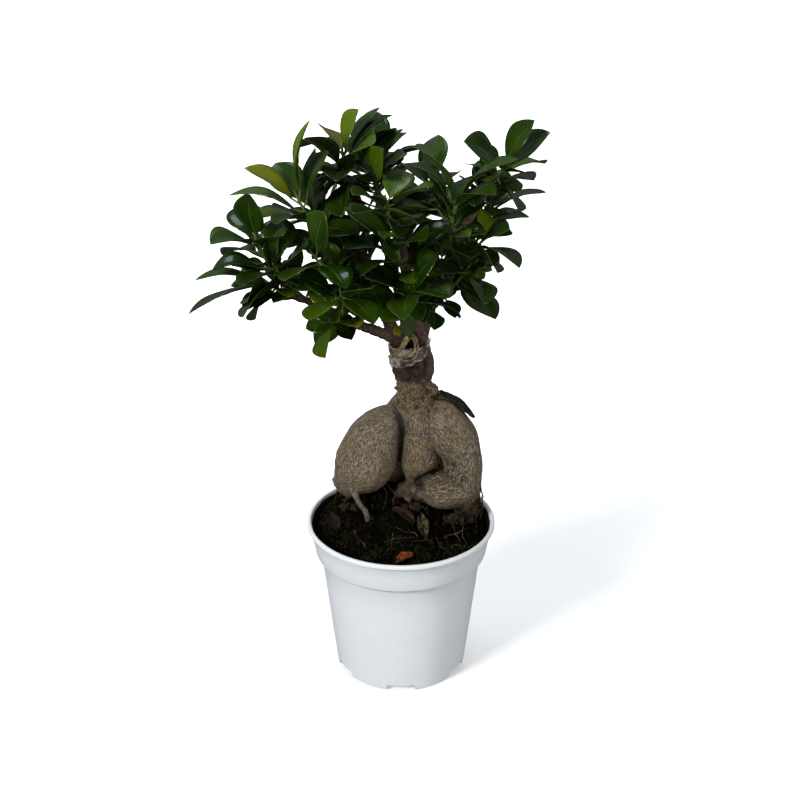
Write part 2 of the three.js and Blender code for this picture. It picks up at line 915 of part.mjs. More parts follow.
/** A leaf's solid. `margin` makes it fatter, and `bladeOnly` leaves out the petiole. The petiole is a wedge,
 *  two corners on top and one below, and the blade is folded along an arched rib. */
function leafSolid(leaf, margin = 0, bladeOnly = false) {
  const { base, tip, width, fold, arch } = leaf;
  const along = tip.clone().sub(base);
  const length = along.length();
  along.normalize();
  const normal = leaf.normal.clone().addScaledVector(along, -leaf.normal.dot(along)).normalize();
  const across = new THREE.Vector3().crossVectors(along, normal);
  const blade = length - LEAF.petiole;
  const half = LEAF.thickness / 2 + margin;
  const keel = LEAF.petioleRadius + margin;
  const rib = (t) =>
    base
      .clone()
      .addScaledVector(along, LEAF.petiole + blade * t)
      .addScaledVector(normal, arch * Math.sin(Math.PI * Math.max(t, 0)));
  const points = [];
  const wedge = (t) =>
    points.push(
      rib(t).addScaledVector(across, keel).addScaledVector(normal, half),
      rib(t).addScaledVector(across, -keel).addScaledVector(normal, half),
      rib(t).addScaledVector(normal, -half - 0.5),
    );
  const station = (t, edges) => {
    const halfWidth = 0.5 * width * bladeOutline(t) + margin;
    for (const level of [half, -half]) {
      for (const edge of edges) {
        points.push(
          rib(t)
            .addScaledVector(across, edge * halfWidth * Math.cos(fold))
            .addScaledVector(normal, Math.abs(edge) * halfWidth * Math.sin(fold) + level),
        );
      }
    }
  };
  if (!bladeOnly) wedge((LEAF.root - LEAF.petiole) / blade);
  wedge(0);
  station(BLADE_STATIONS[0], [1, -1]);
  station(BLADE_STATIONS[1], [1, 0, -1]);
  station(BLADE_STATIONS[2], [1, -1]);
  points.push(rib(1).addScaledVector(normal, half), rib(1).addScaledVector(normal, -half));

  const neck = bladeOnly ? 0 : 3;
  const faces = [[0, 1, 2]];
  const petioleSides = bladeOnly ? [] : [[0, 1], [1, 2], [2, 0]];
  for (const [i, j] of petioleSides) faces.push([i, i + 3, j + 3], [i, j + 3, j]);
  const [a, b, c, tipTop] = [neck + 3, neck + 7, neck + 13, neck + 17];
  const tipUnder = tipTop + 1;
  faces.push([neck, a, a + 1], [neck, a + 1, neck + 1], [neck + 2, a + 3, a + 2]);
  faces.push([neck, neck + 2, a + 2], [neck, a + 2, a]);
  faces.push([neck + 1, a + 1, a + 3], [neck + 1, a + 3, neck + 2]);
  faces.push([a, b, b + 1], [a, b + 1, a + 1], [a + 1, b + 1, b + 2]);
  faces.push([a + 2, b + 4, b + 3], [a + 2, a + 3, b + 4], [a + 3, b + 5, b + 4]);
  faces.push([a, a + 2, b + 3], [a, b + 3, b], [a + 1, b + 2, b + 5], [a + 1, b + 5, a + 3]);
  faces.push([b, c, b + 1], [c, c + 1, b + 1], [b + 1, c + 1, b + 2]);
  faces.push([b + 3, b + 4, c + 2], [c + 2, b + 4, c + 3], [b + 4, b + 5, c + 3]);
  faces.push([b, b + 3, c + 2], [b, c + 2, c], [b + 2, c + 1, c + 3], [b + 2, c + 3, b + 5]);
  faces.push([c, tipTop, c + 1], [c + 2, c + 3, tipUnder]);
  faces.push([c, c + 2, tipUnder], [c, tipUnder, tipTop]);
  faces.push([c + 1, tipTop, tipUnder], [c + 1, tipUnder, c + 3]);
  return solidFromFaces(points, faces);
}

/** The leaves of a shoot as they would grow with nothing in their way. Each faces the way that the shoot
 *  grows, and a little up, before it is rolled. */
function leavesOf(shoot, number) {
  const draw = seededDraw(1000 + 37 * number);
  const curve = twigCurve(shoot);
  const heading = curve.getTangent(1);
  const sideways = new THREE.Vector3().crossVectors(heading, UP).normalize();
  const upright = new THREE.Vector3().crossVectors(sideways, heading);
  const turnedBy = 2 * Math.PI * draw();
  const makeLeaf = (base, reach, roll, early) => {
    const [broad, folded, arched] = [draw(), draw(), draw()];
    const length = reach.length();
    const along = reach.clone().normalize();
    const facing = heading.clone().addScaledVector(UP, 0.35);
    facing.addScaledVector(along, -facing.dot(along)).applyAxisAngle(along, roll);
    return {
      base,
      reach,
      normal: facing,
      width: Math.min(LEAF.width * (0.88 + 0.24 * broad), LEAF.broadest * length),
      fold: THREE.MathUtils.degToRad(6 + 14 * folded),
      arch: length * (0.03 + 0.08 * arched),
      early,
    };
  };
  const given = shoot.leaves.map(([share, x, y, z, roll]) => {
    const base = curve.getPoint(share);
    const tip = new THREE.Vector3(x, y, z).add(new THREE.Vector3(...shoot.tip));
    return makeLeaf(base, tip.sub(base), THREE.MathUtils.degToRad(roll), true);
  });
  const rest = [...Array(shoot.more).keys()].map((k) => {
    const angle = turnedBy + GOLDEN_ANGLE * k;
    const open = THREE.MathUtils.lerp(0.7, 1.35, (k + 0.5) / shoot.more);
    const reach = new THREE.Vector3()
      .addScaledVector(heading, Math.cos(open))
      .addScaledVector(sideways, Math.sin(open) * Math.cos(angle))
      .addScaledVector(upright, Math.sin(open) * Math.sin(angle))
      .setLength(LEAF.length * (0.85 + 0.2 * draw()));
    return makeLeaf(curve.getPoint(1 - (TWIG.leafyShare * (k + 0.3)) / shoot.more), reach, 0, false);
  });
  return [...given, ...rest];
}

/** The leaf with its tip shifted by a swing, at a share of its own size. */
function swung(leaf, swing, size) {
  const reach = leaf.reach.clone().add(new THREE.Vector3(...swing)).setLength(size * leaf.reach.length());
  return { ...leaf, tip: leaf.base.clone().add(reach), width: size * leaf.width, arch: size * leaf.arch };
}

/** True if two solids' boxes come within reach of each other and the solids share some volume. */
function crosses(a, b) {
  const p = a.boundingBox();
  const q = b.boundingBox();
  const apart = [0, 1, 2].some((i) => p.max[i] < q.min[i] || q.max[i] < p.min[i]);
  return !apart && a.intersect(b).volume() > 1e-4;
}

// Assembly

const roots = rootSolid(0);
const rootRoom = rootSolid(GAP);
const woods = Object.fromEntries(Object.keys(SCIONS).map((name) => [name, scionSolid(name, 0)]));
const woodRooms = Object.fromEntries(Object.keys(SCIONS).map((name) => [name, scionSolid(name, GAP)]));

addPiece('pot', potSolid(), COLOURS.pot);
let neck = roots;
for (const room of Object.values(woodRooms)) neck = neck.subtract(room);
addPiece('ginseng_roots', neck, COLOURS.roots, 0.2);
for (const [name, wood] of Object.entries(woods)) addPiece(name, wood, COLOURS.wood, 0.12);

let tape = tapeSolid(0).subtract(rootRoom);
for (const room of Object.values(woodRooms)) tape = tape.subtract(room);
tape = largestOf(tape);
addPiece('graft_tape', tape, COLOURS.tape);
let strand = strandSolid().subtract(tapeSolid(GAP)).subtract(rootRoom);
for (const room of Object.values(woodRooms)) strand = strand.subtract(room);
strand = largestOf(strand);
addPiece('tie_strand', strand, COLOURS.strand);

/** Lifts a dead leaf off what it lies on, until it just clears it. */
function laidOn(ground, leaf, direction) {
  const step = direction.clone().setLength(0.2);
  const resting = { ...leaf, base: leaf.base.clone(), tip: leaf.tip.clone() };
  while (ground.some((solid) => crosses(leafSolid(resting, GAP), solid))) {
    resting.base.add(step);
    resting.tip.add(step);
  }
  return leafSolid(resting);
}

const soil = soilSolid().subtract(rootRoom);
addPiece('soil', soil, COLOURS.soil, 0.06);
for (const { name, from, to, width, arch } of LITTER) {
  const [base, tip] = [from, to].map(([x, y]) => new THREE.Vector3(x, y, soilHeight(x, y)));
  const leaf = laidOn([soil, roots], { base, tip, width, arch, fold: -0.1, normal: UP.clone() }, UP);
  addPiece(name, leaf, COLOURS.litter);
}
{
  const { name, from, to, width, arch } = SHOULDER_LEAF;
  const outward = new THREE.Vector3(0.6, 0, 0.8);
  const facing = new THREE.Vector3(0.5, -0.35, 0.79);
  const [base, tip] = [from, to].map((place) => new THREE.Vector3(...place));
  const leaf = laidOn([roots], { base, tip, width, arch, fold: -0.2, normal: facing }, outward);
  addPiece(name, leaf, COLOURS.litter);
}

const fixed = [rootRoom, ...Object.values(woods), tape, strand];
const shoots = SHOOTS.map((shoot, number) => {
  const green = stretchOf(twigCurve(shoot), TWIG.woodShare, 1);
  const radius = (t) => THREE.MathUtils.lerp(TWIG.joinRadius - 0.1, TWIG.tipRadius, t);
  let stem = limb(green, radius, 5, 5);
  for (const room of Object.values(woodRooms)) stem = stem.subtract(room);
  return { ...shoot, stem: largestOf(stem), grown: [], blades: [], waiting: leavesOf(shoot, number) };
});

for (const early of [true, false]) {
  shoots.forEach((shoot) => {
    for (const leaf of shoot.waiting.filter((each) => each.early === early)) {
      const others = shoots
        .filter((other) => other !== shoot)
        .flatMap((other) => [other.stem, ...other.grown]);
      const tries = SIZES.flatMap((size) => SWINGS.map((swing) => swung(leaf, swing, size)));
      const clear = tries.find((trial) => {
        const whole = leafSolid(trial, LEAF.clearance);
        const blade = leafSolid(trial, LEAF.clearance, true);
        return ![...others, ...fixed].some((other) => crosses(whole, other))
          && ![...shoot.blades, shoot.stem].some((other) => crosses(blade, other));
      });
      if (!clear) continue;
      shoot.grown.push(leafSolid(clear));
      shoot.blades.push(leafSolid(clear, 0, true));
    }
  });
}
for (const shoot of shoots) {
  const whole = wasm.Manifold.union([shoot.stem, ...shoot.grown]);
  addPiece(shoot.name, largestOf(whole), COLOURS.foliage, LEAF.flatness);
}

export default tree;
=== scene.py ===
"""A small ficus ginseng bonsai in a white nursery pot, dressed for its photograph.

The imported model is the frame: every piece made here stands where its node stands and keeps its form. The
swollen roots, the grafted scions, the leafy shoots, the pot, the potting soil, the grafting film and the
fallen leaves each have a class of their own.
"""

from __future__ import annotations

import logging
import math
import random
from dataclasses import dataclass, field
from enum import Enum
from typing import Callable, Iterable, Sequence

import bpy
import numpy as np
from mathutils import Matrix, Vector, noise
from mathutils.kdtree import KDTree


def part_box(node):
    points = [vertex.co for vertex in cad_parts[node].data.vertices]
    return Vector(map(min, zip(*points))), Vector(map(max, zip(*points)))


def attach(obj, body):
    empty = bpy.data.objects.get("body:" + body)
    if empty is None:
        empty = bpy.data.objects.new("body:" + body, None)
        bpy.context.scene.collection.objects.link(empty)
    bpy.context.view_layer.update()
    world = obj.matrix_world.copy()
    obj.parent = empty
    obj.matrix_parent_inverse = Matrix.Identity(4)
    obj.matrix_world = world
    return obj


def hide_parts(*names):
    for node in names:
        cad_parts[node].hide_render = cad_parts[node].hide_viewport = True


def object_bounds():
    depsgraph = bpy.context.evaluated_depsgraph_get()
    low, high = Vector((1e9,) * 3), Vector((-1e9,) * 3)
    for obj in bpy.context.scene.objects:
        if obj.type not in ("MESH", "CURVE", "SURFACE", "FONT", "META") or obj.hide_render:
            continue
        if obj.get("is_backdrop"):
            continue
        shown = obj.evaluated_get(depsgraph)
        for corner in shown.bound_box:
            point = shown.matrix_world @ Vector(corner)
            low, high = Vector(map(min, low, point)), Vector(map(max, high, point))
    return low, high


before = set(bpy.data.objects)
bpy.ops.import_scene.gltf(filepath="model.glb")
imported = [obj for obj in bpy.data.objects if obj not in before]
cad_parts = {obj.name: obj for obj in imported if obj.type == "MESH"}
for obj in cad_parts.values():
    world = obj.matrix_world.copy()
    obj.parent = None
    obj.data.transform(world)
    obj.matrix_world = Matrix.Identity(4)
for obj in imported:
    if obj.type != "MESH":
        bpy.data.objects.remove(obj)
CAD_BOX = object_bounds()

log = logging.getLogger("bonsai")

Rows = tuple[tuple[float, ...], ...]
Shade = tuple[float, float, float]

MM = 0.001
UP = np.array((0.0, 0.0, 1.0))
GOLDEN_ANGLE = math.radians(137.5)
BODY = "root"


# Sizes of the plant, in millimetres from the middle of the pot's foot


@dataclass(frozen=True)
class Shoot:
    """A leafy shoot: where its twig starts and ends, and where the tip of each leaf is.

    A leaf's row is the share of the twig that it springs from, the place of its tip right, back and up
    from the twig's tip, and its roll about its midrib in degrees. `more` leaves follow by the golden angle.
    """

    name: str
    scion: str
    limb: str
    share: float
    tip: tuple[float, float, float]
    rise: float
    more: int
    leaves: Rows


ROOTS: dict[str, Rows] = {
    "neck": (
        (14.5, 18.5, 150, 11), (13, 17.8, 161, 14), (11, 17.5, 171, 15), (10, 17, 181, 13.4),
        (8.5, 16, 190, 10.6), (6.5, 16, 197, 10.2), (5.5, 16, 204, 8.8), (5.5, 16, 212, 8),
    ),
    "egg": (
        (-1, 17, 169.2, 7.2), (-8.2, 15.5, 164.3, 11.9), (-14.8, 15, 156.7, 16.7), (-19.6, 15, 145.2, 19.1),
        (-24.2, 15, 134, 19.4), (-28.5, 15.5, 127, 16.8), (-32, 16, 121, 11.5), (-31, 19, 113, 7),
        (-30, 22, 98, 5),
    ),
    "middle": (
        (9, 21, 178, 7), (10.5, 19, 168, 12), (11.5, 17.2, 157, 13.5), (12, 16.8, 147, 14),
        (12, 17.2, 137, 13.8), (12, 19, 128, 11), (12, 22, 117, 7.5), (12, 25, 98, 6),
    ),
    "burl": (
        (-3, 14, 108, 4), (2, 13, 117, 5), (8, 10, 119, 5.4), (14, 10, 115, 5), (22, 12, 110, 4),
    ),
    "arm": (
        (12, 17.5, 181, 9), (22.5, 16, 170.5, 13.2), (33, 14, 156, 15), (38.8, 11.5, 143, 12.8),
        (40, 8.5, 132, 12), (39.5, 7, 122.5, 11.8), (42, 11, 110, 9), (42, 13, 96, 7),
    ),
    "toe": (
        (39, 6.5, 122.5, 11.6), (31, 4.5, 121.5, 12.3), (22.5, 3.2, 122, 11.8), (15.5, 3, 123.2, 7.4),
    ),
    "back": (
        (9, 21.5, 180, 7.5), (6, 26, 171.5, 11.5), (0, 34, 156, 14), (-4, 37, 138, 15.5), (-6, 38, 118, 13),
        (-6, 38, 98, 8),
    ),
    "heel": (
        (16, 28, 166, 10), (22, 33, 146, 10.5), (25, 34, 124, 9.5), (25, 34, 98, 6),
    ),
    "feeder": (
        (-30.5, 4, 124, 2.6), (-28.5, -3, 120.5, 1.9), (-25.5, -6.5, 116, 1.7), (-22, -8, 111, 2.1),
        (-21, -8.5, 101, 1.2),
    ),
}

SCIONS: dict[str, dict[str, Rows]] = {
    "scion_left": {
        "stem": (
            (-0.5, 13, 195, 3.4), (-0.5, 13, 207, 3.9), (-1.5, 12.5, 220, 3.9), (-6, 10, 231, 3.7),
            (-12, 7, 244, 3.2), (-18, 4, 262, 2.7), (-25, 3, 285, 2.3), (-31, 9, 312, 1.9),
        ),
        "low": (
            (-2, 12, 221, 3.4), (-13, 8, 228, 3.1), (-27, 1, 236, 2.7), (-40, -4, 245, 2.5),
            (-52, -6, 252, 2.2), (-64, -8, 257, 1.9),
        ),
    },
    "scion_right": {
        "stem": (
            (11.5, 13, 195, 3.4), (11.5, 13, 207, 4.0), (12, 13, 220, 4.0), (16, 13, 236, 3.8),
            (22, 12, 256, 3.3), (30, 12, 276, 2.8), (40, 15, 296, 2.4), (50, 19, 312, 2.0),
        ),
        "heel": (
            (14, 13, 191, 2.6), (16.5, 12.5, 199, 3.6), (16.5, 12.5, 208, 3.8), (14, 13, 217, 2.6),
        ),
        "middle": (
            (12, 12, 222, 3.6), (8, 7, 238, 3.4), (5, 1, 255, 3.0), (3, -4, 275, 2.6), (-2, -2, 296, 2.2),
            (-11, 6, 312, 1.9),
        ),
    },
    "scion_back": {
        "stem": (
            (5.5, 22.8, 195, 3.2), (5.5, 22.8, 207, 3.6), (4.5, 23.5, 220, 3.6), (0, 32, 240, 3.3),
            (-6, 41, 260, 2.9), (-12, 48, 282, 2.4), (-14, 52, 304, 1.9),
        ),
        "side": (
            (4, 25, 225, 3.2), (14, 36, 242, 2.8), (28, 45, 258, 2.4), (40, 50, 274, 2.1),
        ),
    },
}

SHOOTS: tuple[Shoot, ...] = (
    Shoot("shoot_upper_left", "scion_left", "stem", 0.8, (-58, -10, 315), 0.3, 2, (
        (1.0, 8, 0, 45, -5), (0.96, -30, 0, 18, 0), (0.92, 18, -3, 28, 15), (0.88, -40, 1, 2, 10),
        (0.84, -30, 1, 4, 5), (0.8, -13, -28, -5, 0), (0.76, -19, 28, -15, 35), (0.72, 4, 12, 27, -30),
        (0.68, 5, 31, 6, -50), (0.64, -8, 18, 8, 50),
    )),
    Shoot("shoot_top_left", "scion_left", "stem", 0.97, (-34, 18, 336), 0.6, 2, (
        (1.0, -28, 24, -3, 10), (0.96, -18, 30, 3, 25), (0.92, 10, -10, 26, 70), (0.88, 29, 4, 20, 10),
        (0.84, 18, -26, 15, 30), (0.8, -25, -17, -29, 5), (0.6, -17, -34, -26, 25), (0.76, -12, -32, -2, 0),
        (0.72, -6, -32, -14, 40), (0.68, -18, 27, -23, 0),
    )),
    Shoot("shoot_top_middle", "scion_right", "middle", 0.99, (-16, 12, 323), 0.4, 2, (
        (0.98, 7, -26, 25, 105), (0.94, 18, -14, 16, 30), (0.9, -17, 29, -11, 10), (0.82, 15, 29, -5, -5),
        (0.86, -14, 29, -5, 20),
    )),
    Shoot("shoot_front_middle", "scion_right", "middle", 0.66, (-8, -22, 316), 0.5, 0, (
        (1.0, 3, 30, 10, 15), (0.96, 25, -21, 15, -10), (0.92, -18, -27, 12, -10), (0.88, -16, 32, -8, 35),
        (0.84, -18, -28, 2, 0), (0.8, 6, -22, -13, -40), (0.76, 14, -26, -3, -25),
    )),
    Shoot("shoot_right_middle", "scion_right", "stem", 0.8, (17, 22, 314), 0.2, 3, (
        (1.0, -15, 30, 7, 15), (0.96, 9, -25, 25, 45), (0.92, 17, 29, 2, 0), (0.88, -15, -30, 10, -30),
        (0.84, 10, -31, -6, -50), (0.8, -10, 29, -20, 5),
    )),
    Shoot("shoot_right_front", "scion_right", "stem", 0.62, (30, -16, 320), 0.4, 2, (
        (1.0, -23, -21, 31, -10), (0.96, 33, -17, 23, 0), (0.92, 20, -24, 10, 5), (0.88, 17, 33, 3, -35),
        (0.84, 11, 34, -25, -5), (0.8, -13, -21, 8, -40),
    )),
    Shoot("shoot_top_right", "scion_right", "stem", 0.98, (59, 14, 327), 0.8, 1, (
        (1.0, -24, -20, 20, -30), (0.96, 16, -11, 30, 75), (0.92, 25, -11, 23, 35), (0.88, 27, 25, -3, -20),
        (0.58, 15, -28, 0, 15), (0.84, -8, -22, -2, 50), (0.8, -20, 19, -2, 0), (0.62, -19, -29, -13, 40),
        (0.66, 4, -29, -14, -30),
    )),
    Shoot("shoot_right", "scion_right", "stem", 0.66, (45, 2, 289), 0.3, 1, (
        (1.0, 7, 30, 11, 20), (0.76, 16, -23, 12, 40), (0.88, 18, -29, -1, -5), (0.8, 10, -25, -13, -30),
        (0.72, -25, -25, 6, 10), (0.92, -12, 31, -4, 15), (0.84, -9, 31, 2, 30),
    )),
    Shoot("shoot_right_low", "scion_right", "stem", 0.45, (38, -8, 273), 0.9, 3, (
        (1.0, -16, -30, 8, 15), (0.96, 9, -29, -11, -15), (0.92, 7, 20, -18, 20),
    )),
    Shoot("shoot_front_low", "scion_right", "middle", 0.3, (5, -28, 267), 0.7, 1, (
        (1.0, 15, -20, 27, 5), (0.96, -3, -29, -7, 20), (0.92, 22, -26, 5, -20), (0.64, 25, 34, -23, -25),
        (0.6, 1.7, 22, -32.5, 135), (0.88, -22, -23, 12, 15), (0.84, -25, 28, -18, 15),
        (0.8, -20, 30, -24, 15),
    )),
    Shoot("shoot_left", "scion_left", "low", 0.9, (-82, -16, 293), 0.4, 3, (
        (1.0, -1, -18, 32, 125), (0.96, -22, -28, 6, -15), (0.88, -23, 25, -17, 20), (0.92, 18, -28, 11, 0),
        (0.84, -16, 31, -1, 45),
    )),
    Shoot("shoot_left_middle", "scion_left", "low", 0.66, (-73, -18, 281), 0.4, 2, (
        (0.96, -22, 28, -9, 30), (1.0, -4, -19, 15, -100), (0.92, 10, -14, 15, 35), (0.88, -15, -29, 0, 0),
        (0.84, 22, -20, 16, 10), (0.8, 17, -28, -4, -35),
    )),
    Shoot("shoot_left_low", "scion_left", "low", 0.98, (-78, -12, 267), 0.8, 1, (
        (1.0, -41, -30, -9, 5), (0.96, -40, -6, 3, 10), (0.92, -23, 0, 0, 15), (0.6, -11, -29, -11, 15),
        (0.64, -10, 22, -31, 0), (0.68, 12, -21, -3, -50), (0.72, 1, -29, 4, 15),
    )),
    Shoot("shoot_front_left", "scion_left", "stem", 0.62, (-48, -30, 287), 0.6, 2, (
        (1.0, 7, -18, 31, 45), (0.96, 18, -29, -8, -30), (0.92, -16, -28, -4, 10), (0.88, 11, 34, 0, -35),
        (0.84, -16, 33, -18, 30),
    )),
    Shoot("shoot_low_left", "scion_left", "low", 0.5, (-34, -34, 267), 0.6, 1, (
        (0.96, -16, -29, -5, 30), (0.92, -1, -20, -5, 55), (1.0, 19, -30, -7, -20), (0.88, -12, 33, -2, 40),
        (0.84, 13, -26, 6, -10),
    )),
    Shoot("shoot_low_left_hanging", "scion_left", "low", 0.42, (-37, -28, 250), 1.2, 0, (
        (1.0, -5, -30, -12, 45), (0.96, 13, -22, 3, -50),
    )),
    Shoot("shoot_middle_low", "scion_left", "stem", 0.46, (-25, -10, 276), 0.5, 4, (
        (1.0, 3, -28, -2, -65), (0.94, -5, -24, -10, 35), (0.9, 16, -28, -1, -20), (0.86, -15, 32, -1, 40),
        (0.82, -9, -27, 3, -15),
    )),
    Shoot("shoot_middle", "scion_right", "middle", 0.46, (-2, -24, 292), 0.5, 2, (
        (0.72, -8, -24, 9, -55), (0.94, 15, -29, 12, 5), (1.0, 7, -24, 4, -35), (0.9, -18, -28, 0, 0),
        (0.76, 12, -25, -7, -35), (0.8, -14, -26, -10, 20),
    )),
    Shoot("shoot_back_middle", "scion_left", "stem", 0.72, (-24, 36, 295), 0.4, 4, (
        (1.0, -14, -30, 7, 5), (0.96, -13, -31, 13, -20), (0.86, -20, -32, -19, 5), (0.82, -16, -35, -5, 10),
        (0.9, -6, -33, -10, 30), (0.78, 15, -36, 1, 10),
    )),
    Shoot("shoot_back_left", "scion_back", "stem", 0.62, (-50, 56, 288), 0.5, 9, (
    )),
    Shoot("shoot_back_top", "scion_back", "stem", 0.98, (-18, 52, 320), 0.4, 9, (
    )),
    Shoot("shoot_back_right", "scion_back", "side", 0.97, (54, 48, 296), 0.4, 9, (
    )),
    Shoot("shoot_back_centre", "scion_back", "stem", 0.5, (8, 68, 282), 0.7, 9, (
    )),
    Shoot("shoot_back_low", "scion_back", "side", 0.6, (26, 60, 256), 1.0, 7, (
    )),
    Shoot("shoot_back_side", "scion_back", "stem", 0.4, (-40, 52, 260), 0.9, 7, (
    )),
)

# Where a leaf that would cross another is swung to, as shifts of its tip, and the sizes that it may have.
SWINGS: Rows = (
    (0, 0, 0), (0, 6, 0), (0, -6, 0), (0, 0, 5), (0, 0, -5), (5, 0, 0), (-5, 0, 0),
    (0, 12, 0), (0, -12, 0), (5, 7, 0), (-5, 7, 0), (5, -7, 0), (-5, -7, 0),
    (0, 8, 8), (0, -8, 8), (0, 8, -8), (0, -8, -8), (10, 0, 5), (-10, 0, 5), (10, 0, -7), (-10, 0, -7),
    (0, 20, 0), (0, -20, 0), (0, 0, 18), (0, 0, -18), (18, 0, 0), (-18, 0, 0),
)
LEAF_SIZES = (1.0, 0.8, 0.62)


class Tone(Enum):
    """How a leaf is coloured: the weight of fresh green, of yellow and of olive brown in it."""

    MATURE = (0.0, 0.0, 0.0)
    GREEN = (0.5, 0.0, 0.0)
    FRESH = (1.0, 0.12, 0.0)
    YELLOWING = (1.0, 0.6, 0.1)
    OLIVE = (0.75, 0.55, 0.6)
    BRIGHT = (1.0, 1.0, 0.0)


# The leaves that aren't dark green, by their row in their shoot.
LEAF_TONES: dict[str, dict[int, Tone]] = {
    "shoot_upper_left": {0: Tone.FRESH, 1: Tone.YELLOWING, 4: Tone.GREEN, 3: Tone.GREEN},
    "shoot_top_left": {1: Tone.OLIVE, 2: Tone.FRESH, 4: Tone.GREEN},
    "shoot_front_middle": {0: Tone.GREEN, 1: Tone.GREEN},
    "shoot_top_middle": {0: Tone.GREEN},
    "shoot_right_front": {0: Tone.GREEN},
    "shoot_top_right": {5: Tone.GREEN, 3: Tone.GREEN},
    "shoot_right": {0: Tone.FRESH},
    "shoot_left_low": {2: Tone.GREEN, 5: Tone.FRESH},
    "shoot_low_left": {0: Tone.GREEN, 1: Tone.FRESH},
    "shoot_low_left_hanging": {0: Tone.GREEN, 1: Tone.YELLOWING},
    "shoot_right_low": {2: Tone.FRESH},
}

# The shoots whose twig starts on a bare stretch of limb, which more inner leaves hide.
BARE_SHOOTS = ("shoot_right", "shoot_top_right", "shoot_right_low", "shoot_right_middle")


# Small tools


def seeded_draw(seed: int) -> Callable[[], float]:
    """Give a repeatable draw between 0 and 1.

    Args:
        seed: a whole number above 0.

    Returns:
        A function whose every call is the next draw.
    """
    state = seed

    def draw() -> float:
        """Return the next draw."""
        nonlocal state
        state = (state * 16807) % 2147483647
        return state / 2147483647

    return draw


def unit(vector: np.ndarray) -> np.ndarray:
    """Return the vector, or each row of vectors, at length one."""
    return vector / np.maximum(np.linalg.norm(vector, axis=-1, keepdims=True), 1e-12)


def smooth_step(low: float, high: float, value: np.ndarray) -> np.ndarray:
    """Return 0 below low, 1 above high and an even rise between them."""
    share = np.clip((value - low) / (high - low), 0.0, 1.0)
    return share * share * (3.0 - 2.0 * share)


def turned(vector: np.ndarray, axis: np.ndarray, angle: float) -> np.ndarray:
    """Return the vector turned about a unit axis by an angle in radians."""
    along = axis * np.dot(axis, vector) * (1.0 - math.cos(angle))
    return vector * math.cos(angle) + np.cross(axis, vector) * math.sin(angle) + along


def noise_at(points: np.ndarray, shift: float = 0.0) -> np.ndarray:
    """Return smooth noise, from about -1 to 1, at each row of points."""
    return np.array([noise.noise(Vector((x + shift, y - shift, z))) for x, y, z in points])


def through(rows: Sequence[Sequence[float]], share: float) -> np.ndarray:
    """Find the point at a share of the way along a smooth curve through rows of x, y, z.

    Args:
        rows: the points, of which only the first three numbers are read.
        share: from 0 at the first row to 1 at the last.

    Returns:
        The point, in the rows' own units.
    """
    points = np.array([row[:3] for row in rows], float)
    place = min(max(share, 0.0), 1.0) * (len(points) - 1)
    k = min(int(place), len(points) - 2)
    here, there = points[k], points[k + 1]
    before = points[k - 1] if k > 0 else 2 * here - there
    after = points[k + 2] if k + 2 < len(points) else 2 * there - here
    w = place - k
    leave, arrive = 0.5 * (there - before), 0.5 * (after - here)
    bend = -3 * here + 3 * there - 2 * leave - arrive
    return here + leave * w + bend * w**2 + (2 * here - 2 * there + leave + arrive) * w**3


def radius_at(rows: Sequence[Sequence[float]], share: float) -> float:
    """Return the radius, the fourth number of each row, at a share of the way along."""
    place = share * (len(rows) - 1)
    return float(np.interp(place, range(len(rows)), [row[3] for row in rows]))


def select_only(*pieces: bpy.types.Object) -> None:
    """Leave edit mode, select these pieces alone and make the first one active."""
    if bpy.context.object and bpy.context.object.mode != "OBJECT":
        bpy.ops.object.mode_set(mode="OBJECT")
    bpy.ops.object.select_all(action="DESELECT")
    for piece in pieces:
        piece.select_set(True)
    bpy.context.view_layer.objects.active = pieces[0]


def in_scene(name: str, data: bpy.types.ID) -> bpy.types.Object:
    """Put a new object into the scene."""
    made = bpy.data.objects.new(name, data)
    bpy.context.scene.collection.objects.link(made)
    return made


def polar(radius: float, angle: float) -> tuple[float, float]:
    """Return how far right and back a place is, from its distance and its angle."""
    return radius * math.cos(angle), radius * math.sin(angle)


def join(name: str, pieces: Sequence[bpy.types.Object]) -> bpy.types.Object:
    """Join pieces into one object.

    Args:
        name: the name of the joined piece.
        pieces: what is joined; none of them is left.

    Returns:
        The joined piece, with its place in its mesh.
    """
    select_only(*pieces)
    if len(pieces) > 1:
        bpy.ops.object.join()
    bpy.ops.object.transform_apply(location=True, rotation=True, scale=True)
    joined = bpy.context.object
    joined.name = joined.data.name = name
    return joined


def finish_modifiers(piece: bpy.types.Object) -> None:
    """Apply every modifier of a piece, in order."""
    select_only(piece)
    for modifier in list(piece.modifiers):
        bpy.ops.object.modifier_apply(modifier=modifier.name)


def grown(name: str, pieces: Sequence[bpy.types.Object], voxel: float, softly: int = 0) -> bpy.types.Object:
    """Grow pieces that overlap into one closed body.

    Args:
        name: the name of the body.
        pieces: what is grown together.
        voxel: the size of its cells, in millimetres.
        softly: how many times it is smoothed.

    Returns:
        The body.
    """
    body = join(name, pieces)
    fuse = body.modifiers.new("fuse", "REMESH")
    fuse.mode = "VOXEL"
    fuse.voxel_size = voxel * MM
    if softly:
        body.modifiers.new("soften", "SMOOTH").iterations = softly
    finish_modifiers(body)
    return body


def pull_down(sheet: bpy.types.Object, *drops: float) -> None:
    """Pull a flat sheet down by each of these drops in turn, which gives it sides and a bottom."""
    select_only(sheet)
    bpy.ops.object.mode_set(mode="EDIT")
    bpy.ops.mesh.select_all(action="SELECT")
    for drop in drops:
        bpy.ops.mesh.extrude_region_move(TRANSFORM_OT_translate={"value": (0, 0, drop)})
    bpy.ops.mesh.select_all(action="SELECT")
    bpy.ops.mesh.normals_make_consistent(inside=False)
    bpy.ops.object.mode_set(mode="OBJECT")


